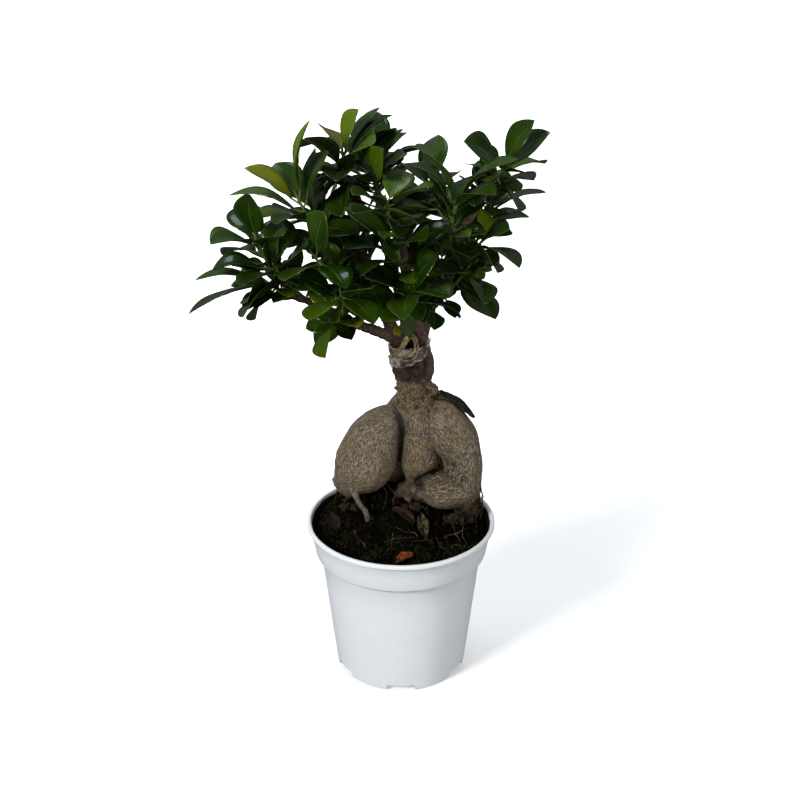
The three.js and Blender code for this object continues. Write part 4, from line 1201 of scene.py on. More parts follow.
@dataclass
class PottingSoil:
    """The heap of soil in the pot, with crumbs, moss and fine rootlets on its surface."""

    edge: float = 95.0
    mound: float = 22.0
    centre: tuple[float, float] = (-12.0, 18.0)
    spread: tuple[float, float] = (36.0, 24.0)
    lump: float = 1.1
    clods: Rows = ((5.5, 3.1, 1.5), (2.1, 9.7, 1.0), (0.9, 5.2, 0.45))
    wall_reach: float = 57.0
    cells: int = 150
    top_radius: float = 55.0
    wall_radius: float = 49.0
    wall_height: float = 79.0
    foot_radius: float = 40.6
    foot_height: float = 6.8
    strewn: float = 53.5
    crumb_count: int = 900
    rootlet_joints: int = 14
    rootlet_step: float = 1.5
    rootlet_reach: float = 53.0
    chance: random.Random = field(default_factory=lambda: random.Random(31))

    def height(self, x: float, y: float) -> float:
        """Return the height of the soil's smooth surface."""
        sides = zip((x, y), self.centre, self.spread)
        far = sum((at - middle) ** 2 / (2 * spread**2) for at, middle, spread in sides)
        to_wall = min(math.hypot(x, y) / self.wall_reach, 1.0)
        lumps = math.sin(0.21 * x + 1.3) * math.cos(0.26 * y) + 0.6 * math.sin(0.43 * y - 0.31 * x)
        return self.edge + self.mound * math.exp(-far) * (1 - to_wall**6) + self.lump * lumps

    def rough_height(self, x: float, y: float) -> float:
        """Return the height of the surface with its clods of three sizes, lower near the wall."""
        rough = sum(noise.noise(Vector((x / wide, y / wide, at))) * high for wide, at, high in self.clods)
        fade = 1.0 - max(0.0, (math.hypot(x, y) - 50.0) / 8.0)
        return self.height(x, y) + rough * max(fade, 0.3)

    def build(self) -> list[bpy.types.Object]:
        """Build the soil and everything strewn on it.

        Returns:
            The finished pieces.
        """
        return [self.filling(), self.crumbs(), self.moss(), self.rootlets()]

    def filling(self) -> bpy.types.Object:
        """Model the soil as a square sheet that is rounded, pulled down into the pot and raised on top."""
        bpy.ops.mesh.primitive_grid_add(x_subdivisions=self.cells, y_subdivisions=self.cells, size=2)
        soil = bpy.context.object
        soil.name = soil.data.name = "soil_surface"
        pull_down(soil, -2.0, -1.0)
        sheet = points_of(soil) * MM
        x, y, layer = sheet[:, 0], sheet[:, 1], sheet[:, 2]
        disc_x = x * np.sqrt(1 - y * y / 2)
        disc_y = y * np.sqrt(1 - x * x / 2)
        placed = np.empty_like(sheet)
        for k, (u, v, level) in enumerate(zip(disc_x, disc_y, layer)):
            if level > -0.5:
                right, back = u * self.top_radius, v * self.top_radius
                placed[k] = (right, back, self.rough_height(right, back))
            elif level > -2.5:
                placed[k] = (u * self.wall_radius, v * self.wall_radius, self.wall_height)
            else:
                placed[k] = (u * self.foot_radius, v * self.foot_radius, self.foot_height)
        move_points(soil, placed)
        return hand_over(EARTH.dress(soil), "soil", "soil")

    def crumbs(self) -> bpy.types.Object:
        """Strew crumbs and bits of bark over the soil."""
        bpy.ops.mesh.primitive_ico_sphere_add(subdivisions=1, radius=1)
        shape, faces = taken_apart(bpy.context.object)
        points: list[np.ndarray] = []
        corners: list[tuple[int, ...]] = []
        for _ in range(self.crumb_count):
            radius = self.strewn * math.sqrt(self.chance.random())
            x, y = polar(radius, self.chance.uniform(0, 2 * math.pi))
            size = self.chance.uniform(0.4, 1.5) * (1.0 if self.chance.random() < 0.9 else 1.7)
            squash = np.array([self.chance.uniform(0.5, 1.2) for _ in range(3)])
            angle = self.chance.uniform(0, math.pi)
            lump = shape * squash * size * np.array([[self.chance.uniform(0.75, 1.2)] for _ in shape])
            right, back = lump[:, 0].copy(), lump[:, 1].copy()
            lump[:, 0] = right * math.cos(angle) - back * math.sin(angle)
            lump[:, 1] = right * math.sin(angle) + back * math.cos(angle)
            start = len(points) * len(shape)
            points.append(lump + np.array((x, y, self.rough_height(x, y) + 0.25 * size)))
            corners.extend(tuple(start + i for i in face) for face in faces)
        piece = mesh_piece("soil_crumbs", np.vstack(points), corners)
        return hand_over(CRUMBS.dress(piece), "soil", smooth=None)

    def moss(self) -> bpy.types.Object:
        """Plant moss in cushions: short leaning spikes, close together."""
        points: list[tuple[float, float, float]] = []
        corners: list[tuple[int, ...]] = []
        cushions = [(-34, -20, 15), (-18, -34, 12), (-44, -2, 9), (10, -38, 13), (-3, -24, 8), (32, -30, 9),
                    (-30, 34, 14), (24, 40, 12), (46, 8, 8), (0, 47, 9), (-48, 18, 8)]
        for cx, cy, spread in cushions:
            for _ in range(int(26 * spread)):
                x = self.chance.gauss(cx, spread * 0.45)
                y = self.chance.gauss(cy, spread * 0.45)
                if math.hypot(x, y) > self.strewn:
                    continue
                tall = self.chance.uniform(0.7, 2.3)
                lean = np.array([self.chance.gauss(0, 0.45) * tall for _ in range(2)])
                z = self.rough_height(x, y)
                turn = self.chance.uniform(0, 2 * math.pi)
                start = len(points)
                for k in range(3):
                    right, back = polar(0.24, turn + 2 * math.pi * k / 3)
                    points.append((x + right, y + back, z - 0.5))
                    corners.append((start + k, start + (k + 1) % 3, start + 3))
                points.append((x + lean[0], y + lean[1], z + tall))
                corners.append((start, start + 2, start + 1))
        piece = mesh_piece("moss_tufts", np.array(points), corners)
        return hand_over(MOSS.dress(piece), "soil", smooth=None)

    def rootlets(self) -> bpy.types.Object:
        """Lay thin pale rootlets on the soil, mostly at the right under the curled root."""
        pieces = []
        starts = [(22, -16), (26, -20), (30, -14), (34, -10), (18, -12), (40, -4), (44, 4), (12, -20),
                  (30, -26), (-6, -16), (-12, -22), (-30, -12), (-38, 8), (38, 24), (-10, 44), (14, 44),
                  (-40, 24)]
        for number, (x, y) in enumerate(starts):
            heading = self.chance.uniform(0, 2 * math.pi)
            line = []
            for _ in range(self.rootlet_joints):
                heading += self.chance.gauss(0, 0.2)
                right, back = polar(self.rootlet_step, heading)
                x, y = x + right, y + back
                reach = math.hypot(x, y)
                if reach > self.rootlet_reach:
                    x, y = x * self.rootlet_reach / reach, y * self.rootlet_reach / reach
                hop = 1.1 * abs(math.sin(0.5 * len(line)))
                line.append((x, y, self.rough_height(x, y) + 0.2 + hop))
            girth = self.chance.uniform(0.16, 0.34)
            radii = [girth * (1 - 0.7 * k / len(line)) for k in range(len(line))]
            pieces.append(limb(f"rootlet_{number}", np.array(line), radii, 1))
        return hand_over(ROOTLETS.dress(join("fine_rootlets", pieces)), "soil")


# Roots and neck


@dataclass
class RootMass:
    """The swollen roots and the neck, grown as one body, with bark that follows each root."""

    voxel: float = 0.75
    samples: int = 40
    neck_rise: tuple[float, float] = (168.0, 181.0)
    cap_rise: tuple[float, float] = (194.0, 197.5)
    # The heights over which the painted shade near the soil fades out.
    soil_rise: tuple[float, float] = (104.0, 130.0)
    elbow: tuple[float, float, float] = (31.0, 2.0, 136.0)
    # Pairs of roots whose meeting is grooved and painted dark as shade, and the height where that ends.
    folds: tuple[tuple[str, str, float], ...] = (
        ("egg", "middle", 176.0), ("egg", "neck", 177.0), ("arm", "middle", 140.0), ("toe", "middle", 150.0),
    )

    def lines(self) -> dict[str, tuple[np.ndarray, np.ndarray]]:
        """Return each root's middle line and its radii, smoothed, by name."""
        found = {}
        for name, rows in ROOTS.items():
            shares = np.linspace(0, 1, self.samples)
            line = np.array([through(rows, share) for share in shares])
            radii = np.array([radius_at(rows, share) for share in shares])
            soft = np.convolve(np.pad(radii, 2, mode="edge"), (0.12, 0.22, 0.32, 0.22, 0.12), mode="valid")
            found[name] = (line, soft)
        return found

    def build(self) -> list[bpy.types.Object]:
        """Grow the roots into one body, give it its wrinkles and dress it.

        Returns:
            The finished pieces.
        """
        lines = self.lines()
        pieces = [limb(f"root_{name}", line, radii, 14) for name, (line, radii) in lines.items()]
        pieces.extend(self.knots())
        body = grown("root_mass", pieces, self.voxel, 5)
        self.wrinkle(body, lines)
        return [hand_over(ROOT_BARK.dress(body), "root_bark", "ginseng_roots"), self.crust(), self.hairs()]

    def knots(self) -> list[bpy.types.Object]:
        """Make the knobs at the root's foot and the lump beside the neck, to be grown in with the rest."""
        places = [
            ((-42.4, 10.5, 125.5), 2.0), ((-40.0, 10.5, 123.5), 3.8), ((19.0, 12.0, 188.0), 4.6),
            ((20.5, 13.0, 184.5), 4.2), ((17.0, 9.5, 180.0), 4.2), ((-0.8, 12.0, 190.0), 2.6),
            ((-1.5, 10.0, 203.0), 4.0), ((1.5, 6.8, 201.0), 3.6), ((8.5, 6.6, 203.0), 3.0),
            ((8.0, 6.0, 121.0), 3.0), ((12.5, 6.5, 117.0), 3.2), ((1.0, 9.0, 118.0), 3.0),
            ((4.5, 7.0, 113.5), 2.8), ((-21.5, -8.0, 104.5), 1.8), ((-24.0, -9.5, 103.5), 1.5),
            ((-19.0, -9.5, 103.0), 1.5),
        ]
        return [ball(place, radius) for place, radius in places]

    @staticmethod
    def followed(points: np.ndarray, line: np.ndarray, radii: np.ndarray) -> tuple[np.ndarray, np.ndarray]:
        """Find where each point of the body lies on one root.

        Args:
            points: the body's points.
            line: the root's middle line.
            radii: its radii.

        Returns:
            How far each point is outside the root, and its place: two numbers round the root, one along it.
        """
        reach = np.linalg.norm(points[:, None] - line[None], axis=2) - radii[None]
        nearest = np.argmin(reach, axis=1)
        steps = np.linalg.norm(np.diff(line, axis=0), axis=1)
        length = np.concatenate(([0.0], np.cumsum(steps)))
        heading = unit(np.gradient(line, axis=0))
        side = np.array((0.0, -1.0, 0.0))
        sides = []
        for ahead in heading:
            side = unit(side - ahead * np.dot(side, ahead))
            sides.append(side)
        across = np.cross(heading, sides)
        offset = points - line[nearest]
        out = unit(offset)
        girth = 0.75 * radii[nearest]
        right = np.einsum("ij,ij->i", out, np.array(sides)[nearest]) * girth
        back = np.einsum("ij,ij->i", out, across[nearest]) * girth
        along = length[nearest] + np.einsum("ij,ij->i", offset, heading[nearest])
        return reach[np.arange(len(points)), nearest], np.column_stack((right, back, along))

    def creased(self, outside: dict[str, np.ndarray], height: np.ndarray) -> tuple[np.ndarray, np.ndarray]:
        """Find where two roots meet in a fold.

        Args:
            outside: how far each point is outside each root.
            height: each point's height.

        Returns:
            How much of the narrow crease, grooved and painted as shade, and of the broad painted shade is at
            each point.
        """
        crease, broad_crease_shade = np.zeros(len(height)), np.zeros(len(height))
        for first, second, top in self.folds:
            meet = np.maximum(np.abs(outside[first]), np.abs(outside[second]))
            narrow = (1 - smooth_step(0.4, 2.3, meet)) * (1 - smooth_step(top - 5.0, top, height))
            # A broad band of painted shade beside each crease.
            broad = (1 - smooth_step(0.5, 9.0, meet)) * (1 - smooth_step(top - 12.0, top, height))
            crease, broad_crease_shade = np.maximum(crease, narrow), np.maximum(broad_crease_shade, broad)
        return crease, broad_crease_shade

    def wrinkle(self, body: bpy.types.Object, lines: dict[str, tuple[np.ndarray, np.ndarray]]) -> None:
        """Raise wrinkles that run along each root, and mark each point for the bark.

        Args:
            body: the fused roots.
            lines: each root's middle line and radii.
        """
        points, normals = points_of(body), normals_of(body)
        height = points[:, 2]
        found = {name: self.followed(points, line, radii) for name, (line, radii) in lines.items()}
        outside = {name: depth for name, (depth, _) in found.items()}
        owner = np.argmin(list(outside.values()), axis=0)
        shifts = np.array((0.0, 0.0, 40.0)) * np.arange(len(found))[:, None, None]
        grain = np.array([place for _, place in found.values()]) + shifts
        picked = grain[owner, np.arange(len(points))]
        on_middle = owner == list(lines).index("middle")
        on_burl = owner == list(lines).index("burl")
        crease, broad_crease_shade = self.creased(outside, height)
        neckness = smooth_step(*self.neck_rise, height + 5.0 * noise_at(points / 8.0))
        neckness = neckness * (1 - smooth_step(0.5, 5.0, outside["neck"]))
        # Where the neck's top is painted dark: its own colour, deepened with painted shade.
        cap_and_shade = smooth_step(*self.cap_rise, height + 1.5 * noise_at(points / 4.0, 7.0))
        # Painted shade on the lower parts, near the soil.
        near_soil_shade = (1 - smooth_step(*self.soil_rise, height)) * 0.65
        # Warmth tints the middle root and the burl olive; near the soil it adds to the painted shade.
        warmth = np.where(on_middle, 0.75, 0.0) + near_soil_shade + np.where(on_burl, 0.9, 0.0)
        warmth = np.clip(warmth * (0.75 + 0.7 * noise_at(points / 7.0, 4.0)), 0.0, 1.0)
        elbow = 1 - smooth_step(5.0, 22.0, np.linalg.norm(points - np.array(self.elbow), axis=1))
        swayed = picked + noise_at(points / 9.0, 12.0)[:, None] * 2.5
        swell = noise_at(points / 17.0, 8.0) * 0.8
        wrinkles = noise_at(swayed * np.array((0.55, 0.55, 0.085)), 2.0) * 0.30
        carved = 0.45 - 2.0 * np.abs(noise_at(swayed * np.array((0.36, 0.36, 0.075)), 11.0))
        thin = noise_at(picked * np.array((1.15, 1.15, 0.17)), 5.0) * 0.18
        knobs = (np.abs(noise_at(points / 2.7, 6.0)) - 0.2) * 2.2
        ridges = noise_at(picked * np.array((0.42, 0.42, 0.14)), 9.0)
        crumbs = noise_at(points / 1.5, 3.0)
        crusty = (knobs + ridges * 0.9 + crumbs * 0.5) * neckness
        lumpy = np.where(on_burl, noise_at(points / 3.0, 14.0) * 1.3, 0.0)
        lift = swell + wrinkles + carved * 1.1 * elbow + thin + crusty + lumpy - 1.3 * crease
        move_points(body, points + normals * lift[:, None])
        # The hollows of the neck's crust and of the elbow's carving are painted dark as shade.
        valley_shade = neckness * (1 - smooth_step(-0.85, 0.0, knobs + ridges + crumbs))
        valley_shade = np.maximum(valley_shade, elbow * (1 - smooth_step(-0.75, -0.25, carved)) * 0.7)
        # Painted shade near the soil, on the burl, beside the creases and inside the elbow.
        painted_shade = np.max((near_soil_shade, on_burl, broad_crease_shade * 0.75, elbow * 0.35), axis=0)
        mark(body, "grain", *picked.T)
        mark(body, "zone", neckness, warmth, np.maximum(crease, 0.9 * valley_shade))
        mark(body, "skin", cap_and_shade, elbow, painted_shade)

    def crust(self) -> bpy.types.Object:
        """Model the dark crumbly lump at the right of the neck, and the rubble at the roots' feet."""
        chance = random.Random(8)
        clumps = (
            ((20.0, 11.0, 186.0), (1.8, 1.8, 3.0), 34, (0.9, 2.0)),
            ((47.5, 4.0, 109.0), (2.4, 3.4, 5.5), 60, (1.0, 2.4)),
            ((7.0, 2.5, 110.0), (8.0, 2.4, 1.8), 46, (0.8, 2.0)),
            ((37.0, -3.0, 104.5), (8.0, 3.0, 2.2), 60, (0.9, 2.4)),
            ((-28.0, 2.0, 110.5), (9.0, 2.5, 1.6), 44, (0.8, 1.8)),
        )
        pieces = []
        for middle, spread, count, sizes in clumps:
            for _ in range(count):
                place = [chance.triangular(-1.3, 1.3) * far + at for at, far in zip(middle, spread)]
                pieces.append(ball(place, chance.uniform(*sizes), 2))
        lump = grown("neck_crust", pieces, 0.5)
        points, normals = points_of(lump), normals_of(lump)
        lift = noise_at(points / 1.5) * 0.8 + noise_at(points / 4.0, 3.0) * 0.8
        move_points(lump, points + normals * lift[:, None])
        return hand_over(CRUST.dress(lump), "root_bark")

    def hairs(self) -> bpy.types.Object:
        """Lay dark thin roots over the right shoulder and under the roots' feet."""
        chance = random.Random(17)
        ways = [
            ((19, 10, 184), (25, 12, 184.5), (31, 14, 181), (38, 16, 175)),
            ((20, 12, 186), (27, 14, 184), (34, 15, 179), (41, 15, 171)),
            ((18, 8, 182), (25, 10, 182.5), (33, 12, 178), (43, 13, 168)),
            ((50, 6, 128), (52, 4, 119), (52, 2, 110), (51, 1, 101)),
            ((44, -1, 118), (47, -5, 112), (48, -7, 105), (47, -9, 98)),
            ((50, 9, 124), (52.5, 9, 114), (52.5, 7, 106), (51, 6, 98)),
            ((34, -5, 119), (35, -8, 113), (33, -10, 107), (34, -12, 101)),
            ((-40, 12, 122), (-42, 9, 116), (-43, 6, 109), (-43, 4, 101)),
            ((-12, 6, 124), (-9, 2, 119), (-10, -1, 114), (-12, -2, 108)),
            ((-9, 8, 124), (-4, 4, 119), (-5, 1, 115), (-3, -1, 109)),
        ]
        pieces = []
        for number, way in enumerate(ways):
            line = np.array([through(way, share) for share in np.linspace(0, 1, 16)])
            line += np.array([[chance.gauss(0, 0.35) for _ in range(3)] for _ in line])
            girth = chance.uniform(0.3, 0.62)
            pieces.append(limb(f"hair_{number}", line, [girth * (1 - 0.5 * k / 16) for k in range(16)], 2))
        return hand_over(DARK_ROOTLETS.dress(join("shoulder_rootlets", pieces)), "root_bark")


# Twigs and leaves


@dataclass(frozen=True)
class Twig:
    """The line of a shoot's twig, from its limb to its tip."""

    shoot: Shoot

    def ends(self) -> tuple[np.ndarray, np.ndarray, np.ndarray]:
        """Return the twig's start, the point that it bends towards, and its tip."""
        start = through(SCIONS[self.shoot.scion][self.shoot.limb], self.shoot.share)
        tip = np.array(self.shoot.tip, float)
        reach = tip - start
        turn = start + 0.6 * reach * np.array((1.0, 1.0, self.shoot.rise))
        return start, turn, tip

    def at(self, share: float) -> np.ndarray:
        """Return the twig's point at a share of its length."""
        start, turn, tip = self.ends()
        return (1 - share) ** 2 * start + 2 * share * (1 - share) * turn + share**2 * tip

    def heading(self) -> np.ndarray:
        """Return the way that the twig grows at its tip."""
        return unit(self.at(1.0) - self.at(0.9999))


@dataclass
class Leaf:
    """A leaf as its shoot holds it, in millimetres and radians."""

    base: np.ndarray
    reach: np.ndarray
    facing: np.ndarray
    width: float
    fold: float
    arch: float
    tone: Tone = Tone.MATURE
    petiole: float = 5.5

    def swung(self, swing: Sequence[float], size: float) -> Leaf:
        """Return the leaf with its tip shifted, at a share of its own size."""
        reach = self.reach + np.array(swing)
        reach = unit(reach) * np.linalg.norm(self.reach) * size
        return Leaf(self.base, reach, self.facing, self.width * size, self.fold, self.arch * size, self.tone)

    def blade(self) -> float:
        """Return the length of the leaf without its stalk."""
        return np.linalg.norm(self.reach) - self.petiole

    def axes(self) -> tuple[np.ndarray, np.ndarray, np.ndarray]:
        """Return the leaf's directions: along it, out of its upper face, and across it."""
        along = unit(self.reach)
        normal = unit(self.facing - along * np.dot(self.facing, along))
        return along, normal, np.cross(along, normal)


@dataclass
class LeafBlank:
    """A flat leaf blade that is modelled once. Each leaf is a bent copy of it."""

    rows: int = 18
    columns: int = 6

    def outline(self, share: float) -> float:
        """Return the blade's half width at a share of its length, as a share of the greatest."""
        body = math.sin(math.pi * min(share, 0.9999) ** 1.17) ** 0.74
        return max(body, 0.045)

    def build(self) -> tuple[np.ndarray, list[tuple[int, ...]]]:
        """Model the blade as an even grid with an upper and a lower side.

        Returns:
            The points, each a share along, a share across from -1 to 1 and a layer of 0 or -1, and the faces.
        """
        bpy.ops.mesh.primitive_grid_add(x_subdivisions=self.rows, y_subdivisions=self.columns, size=2)
        blank = bpy.context.object
        pull_down(blank, -1.0)
        shape, faces = taken_apart(blank)
        shape[:, 0] = 0.5 + 0.5 * shape[:, 0]
        return shape, faces


@dataclass
class Crown:
    """All the leafy shoots, each a green stem with its leaves."""

    length: float = 37.0
    width: float = 21.5
    broadest: float = 0.66
    leafy_share: float = 0.42
    thickness: float = 0.42
    inner: int = 6
    more_inner: int = 6
    inner_start: float = 0.36
    bare_start: float = 0.06
    inner_length: tuple[float, float] = (15.0, 11.0)
    tip_rise: float = 0.35
    tip_near: float = 0.2
    blank: LeafBlank = field(default_factory=LeafBlank)

    def leaves_of(self, shoot: Shoot, number: int) -> list[Leaf]:
        """List a shoot's leaves as they would grow with nothing in their way.

        Args:
            shoot: the shoot.
            number: its place in the list of shoots, which seeds its draws.

        Returns:
            The leaves that the shoot's rows give, and then those that follow round its stem.
        """
        draw = seeded_draw(1000 + 37 * number)
        twig = Twig(shoot)
        heading = twig.heading()
        sideways = unit(np.cross(heading, UP))
        upright = np.cross(sideways, heading)
        turned_by = 2 * math.pi * draw()

        def grow(base: np.ndarray, reach: np.ndarray, roll: float, tone: Tone) -> Leaf:
            """Make one leaf from its base, its reach and its roll."""
            broad, folded, arched = draw(), draw(), draw()
            length = float(np.linalg.norm(reach))
            along = reach / length
            facing = heading + 0.35 * UP
            facing = turned(facing - along * np.dot(facing, along), along, roll)
            width = min(self.width * (0.88 + 0.24 * broad), self.broadest * length)
            fold = math.radians(6 + 14 * folded)
            return Leaf(base, reach, facing, width, fold, length * (0.03 + 0.08 * arched), tone)

        tones = LEAF_TONES.get(shoot.name, {})
        found = []
        for k, (share, x, y, z, roll) in enumerate(shoot.leaves):
            base = twig.at(share)
            reach = np.array(shoot.tip) + np.array((x, y, z)) - base
            found.append(grow(base, reach, math.radians(roll), tones.get(k, Tone.MATURE)))
        for k in range(shoot.more):
            angle = turned_by + GOLDEN_ANGLE * k
            opened = 0.7 + 0.65 * (k + 0.5) / shoot.more
            reach = heading * math.cos(opened) + sideways * math.sin(opened) * math.cos(angle)
            reach = unit(reach + upright * math.sin(opened) * math.sin(angle))
            reach = reach * self.length * (0.85 + 0.2 * draw())
            base = twig.at(1 - self.leafy_share * (k + 0.3) / shoot.more)
            found.append(grow(base, reach, 0.0, Tone.MATURE))
        return found

    def young(self, shoot: Shoot, number: int) -> list[Leaf]:
        """Grow the small inner leaves that fill the middle of the crown.

        Args:
            shoot: the shoot.
            number: its place in the list of shoots, which seeds its draws.

        Returns:
            Short leaves close to the shoot's twig, well inside the crown.
        """
        draw = seeded_draw(5000 + 53 * number)
        twig = Twig(shoot)
        found = []
        for k in range(self.inner + (self.more_inner if shoot.name in BARE_SHOOTS else 0)):
            share = (self.inner_start if k < self.inner else self.bare_start) + 0.36 * draw()
            heading = unit(twig.at(share + 0.01) - twig.at(share - 0.01))
            sideways = unit(np.cross(heading, UP))
            angle, opened = 2 * math.pi * draw(), 0.9 + 0.5 * draw()
            out = sideways * math.cos(angle) + np.cross(sideways, heading) * math.sin(angle)
            length = self.inner_length[0] + self.inner_length[1] * draw()
            reach = unit(heading * math.cos(opened) + out * math.sin(opened)) * length
            facing = 0.6 * heading + 0.6 * UP + np.array((0.0, -0.4, 0.0))
            tone = Tone.GREEN if draw() < 0.25 else Tone.MATURE
            found.append(Leaf(twig.at(share), reach, facing, 0.6 * length, 0.2, 0.06 * length, tone, 4.0))
        return found

    @staticmethod
    def yellow_leaf() -> Leaf:
        """Place the one small yellow leaf, which sprouts from the left scion just above the film."""
        base, reach = np.array((-4.6, 9.0, 234.5)), np.array((4.4, -6.2, -6.5))
        return Leaf(base, reach, np.array((-0.2, -0.9, 0.35)), 7.0, 0.25, 0.5, Tone.BRIGHT, 2.8)

    def settled(self, shoot: Shoot, number: int) -> list[Leaf]:
        """Find where each leaf of a shoot really lies, by the tips that its node has.

        Args:
            shoot: the shoot.
            number: its place in the list of shoots.

        Returns:
            The leaves that the node has, swung and sized as they are there.
        """
        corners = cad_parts[shoot.name].data.vertices
        tree = KDTree(len(corners))
        for k, corner in enumerate(corners):
            tree.insert(corner.co, k)
        tree.balance()
        found = []
        for leaf in self.leaves_of(shoot, number):
            for size in LEAF_SIZES:
                trials = (leaf.swung(swing, size) for swing in SWINGS)
                fit = next((trial for trial in trials if self.has_tip(tree, trial)), None)
                if fit:
                    found.append(fit)
                    break
        return found

    def has_tip(self, tree: KDTree, leaf: Leaf) -> bool:
        """Tell whether a node has a corner where the leaf's tip would be."""
        _, normal, _ = leaf.axes()
        corner = leaf.base + leaf.reach + self.tip_rise * normal
        return tree.find(Vector(corner * MM))[2] < self.tip_near * MM

    def bent(self, leaf: Leaf, shape: np.ndarray, chance: random.Random) -> np.ndarray:
        """Bend the flat blade to a leaf's fold, arch and waves.

        Args:
            leaf: the leaf.
            shape: the blank's points.
            chance: draws for the waves of its margin.

        Returns:
            The blade's points, in millimetres.
        """
        along, normal, across = leaf.axes()
        blade = leaf.blade()
        share, out, layer = shape[:, 0], shape[:, 1], shape[:, 2]
        share = share + 0.06 * np.sin(2 * math.pi * share) * 0.5
        width = np.array([self.blank.outline(t) for t in np.clip(share, 0, 1)])
        half = 0.5 * leaf.width * width
        wave = 0.28 * np.sin(2 * math.pi * (share * chance.uniform(1.2, 2.0) + chance.random()))
        wave = wave * np.sign(out) * out**2 * (1 - share * 0.4)
        curl = chance.uniform(-0.6, 0.9) * out**4
        groove = 0.22 * np.exp(-((out / 0.10) ** 2)) * (1 - share)
        rise = np.abs(out) ** 1.25 * half * math.sin(leaf.fold) + wave + curl * 0.5 - groove
        thick = self.thickness * (1.0 - 0.55 * out**2) * (1.0 - 0.35 * share)
        rise = rise + np.where(layer < -0.5, -0.5, 0.5) * thick
        middle = leaf.base + np.outer(leaf.petiole + blade * share, along)
        middle = middle + np.outer(leaf.arch * np.sin(math.pi * share), normal)
        return middle + np.outer(out * half * math.cos(leaf.fold), across) + np.outer(rise, normal)

    def stem(self, shoot: Shoot) -> bpy.types.Object:
        """Model a shoot's green stem, from the wood to the bud at its tip."""
        twig = Twig(shoot)
        shares = np.linspace(0.47, 1.0, 12)
        line = np.array([twig.at(share) for share in shares])
        bud = line[-1] + twig.heading() * np.array((2.0, 4.5, 7.0))[:, None]
        line = np.vstack((line, bud))
        radii = [1.15 - 0.35 * k / 11 for k in range(12)] + [0.85, 0.6, 0.12]
        piece = limb("stem", line, radii, 2)
        age = np.clip(1.2 - np.linalg.norm(points_of(piece) - line[0], axis=1) / 12.0, 0.0, 1.0)
        mark(piece, "tone", age)
        return piece

    def petiole(self, leaf: Leaf) -> bpy.types.Object:
        """Model a leaf's stalk, from inside the stem to under the blade's midrib."""
        along, normal, _ = leaf.axes()
        blade = leaf.blade()
        shares = (-leaf.petiole / blade, -0.08, 0.0, 0.12, 0.34, 0.62)
        radii = (0.75, 0.62, 0.6, 0.5, 0.34, 0.14)
        line = []
        for share in shares:
            lift = leaf.arch * math.sin(math.pi * max(share, 0.0)) - 0.24 - 0.1 * max(share, 0.0)
            line.append(leaf.base + along * (leaf.petiole + blade * share) + normal * lift)
        piece = limb("petiole", np.array(line), radii, 1)
        mark(piece, "tone")
        return piece

    def build(self) -> list[bpy.types.Object]:
        """Build every shoot.

        Returns:
            The finished pieces, one for each shoot.
        """
        shape, faces = self.blank.build()
        built = []
        total = 0
        for number, shoot in enumerate(SHOOTS):
            leaves = self.settled(shoot, number)
            total += len(leaves)
            leaves += self.young(shoot, number)
            if shoot.name == "shoot_low_left_hanging":
                leaves.append(self.yellow_leaf())
            built.append(self.dressed(shoot, leaves, shape, faces))
        log.info("crown: %d leaves on %d shoots", total, len(built))
        return built

    def dressed(
        self, shoot: Shoot, leaves: list[Leaf], shape: np.ndarray, faces: list[tuple[int, ...]]
    ) -> bpy.types.Object:
        """Build one shoot with its blades, stalks and stem.

        Args:
            shoot: the shoot.
            leaves: where its leaves lie.
            shape: the blank's points.
            faces: the blank's faces.

        Returns:
            The finished shoot.
        """
        chance = random.Random(shoot.name)
        count = len(shape)
        blades = np.vstack([self.bent(leaf, shape, chance) for leaf in leaves])
        corners = [tuple(start * count + i for i in face) for start in range(len(leaves)) for face in faces]
        piece = mesh_piece(shoot.name + "_leaves", blades, corners)
        mark(piece, "tone", *np.repeat([leaf.tone.value for leaf in leaves], count, axis=0).T)
        odds = np.repeat([chance.random() for _ in leaves], count)
        below = np.tile(np.where(shape[:, 2] < -0.5, 1.0, 0.0), len(leaves))
        mark(piece, "side", below, odds)
        lay_map(piece, shape)
        stalks = [GREEN_STEM.dress(stalk) for stalk in (*map(self.petiole, leaves), self.stem(shoot))]
        joined = join(shoot.name + "_leaves", [LEAF_SKIN.dress(piece), *stalks])
        return hand_over(joined, "foliage", shoot.name)


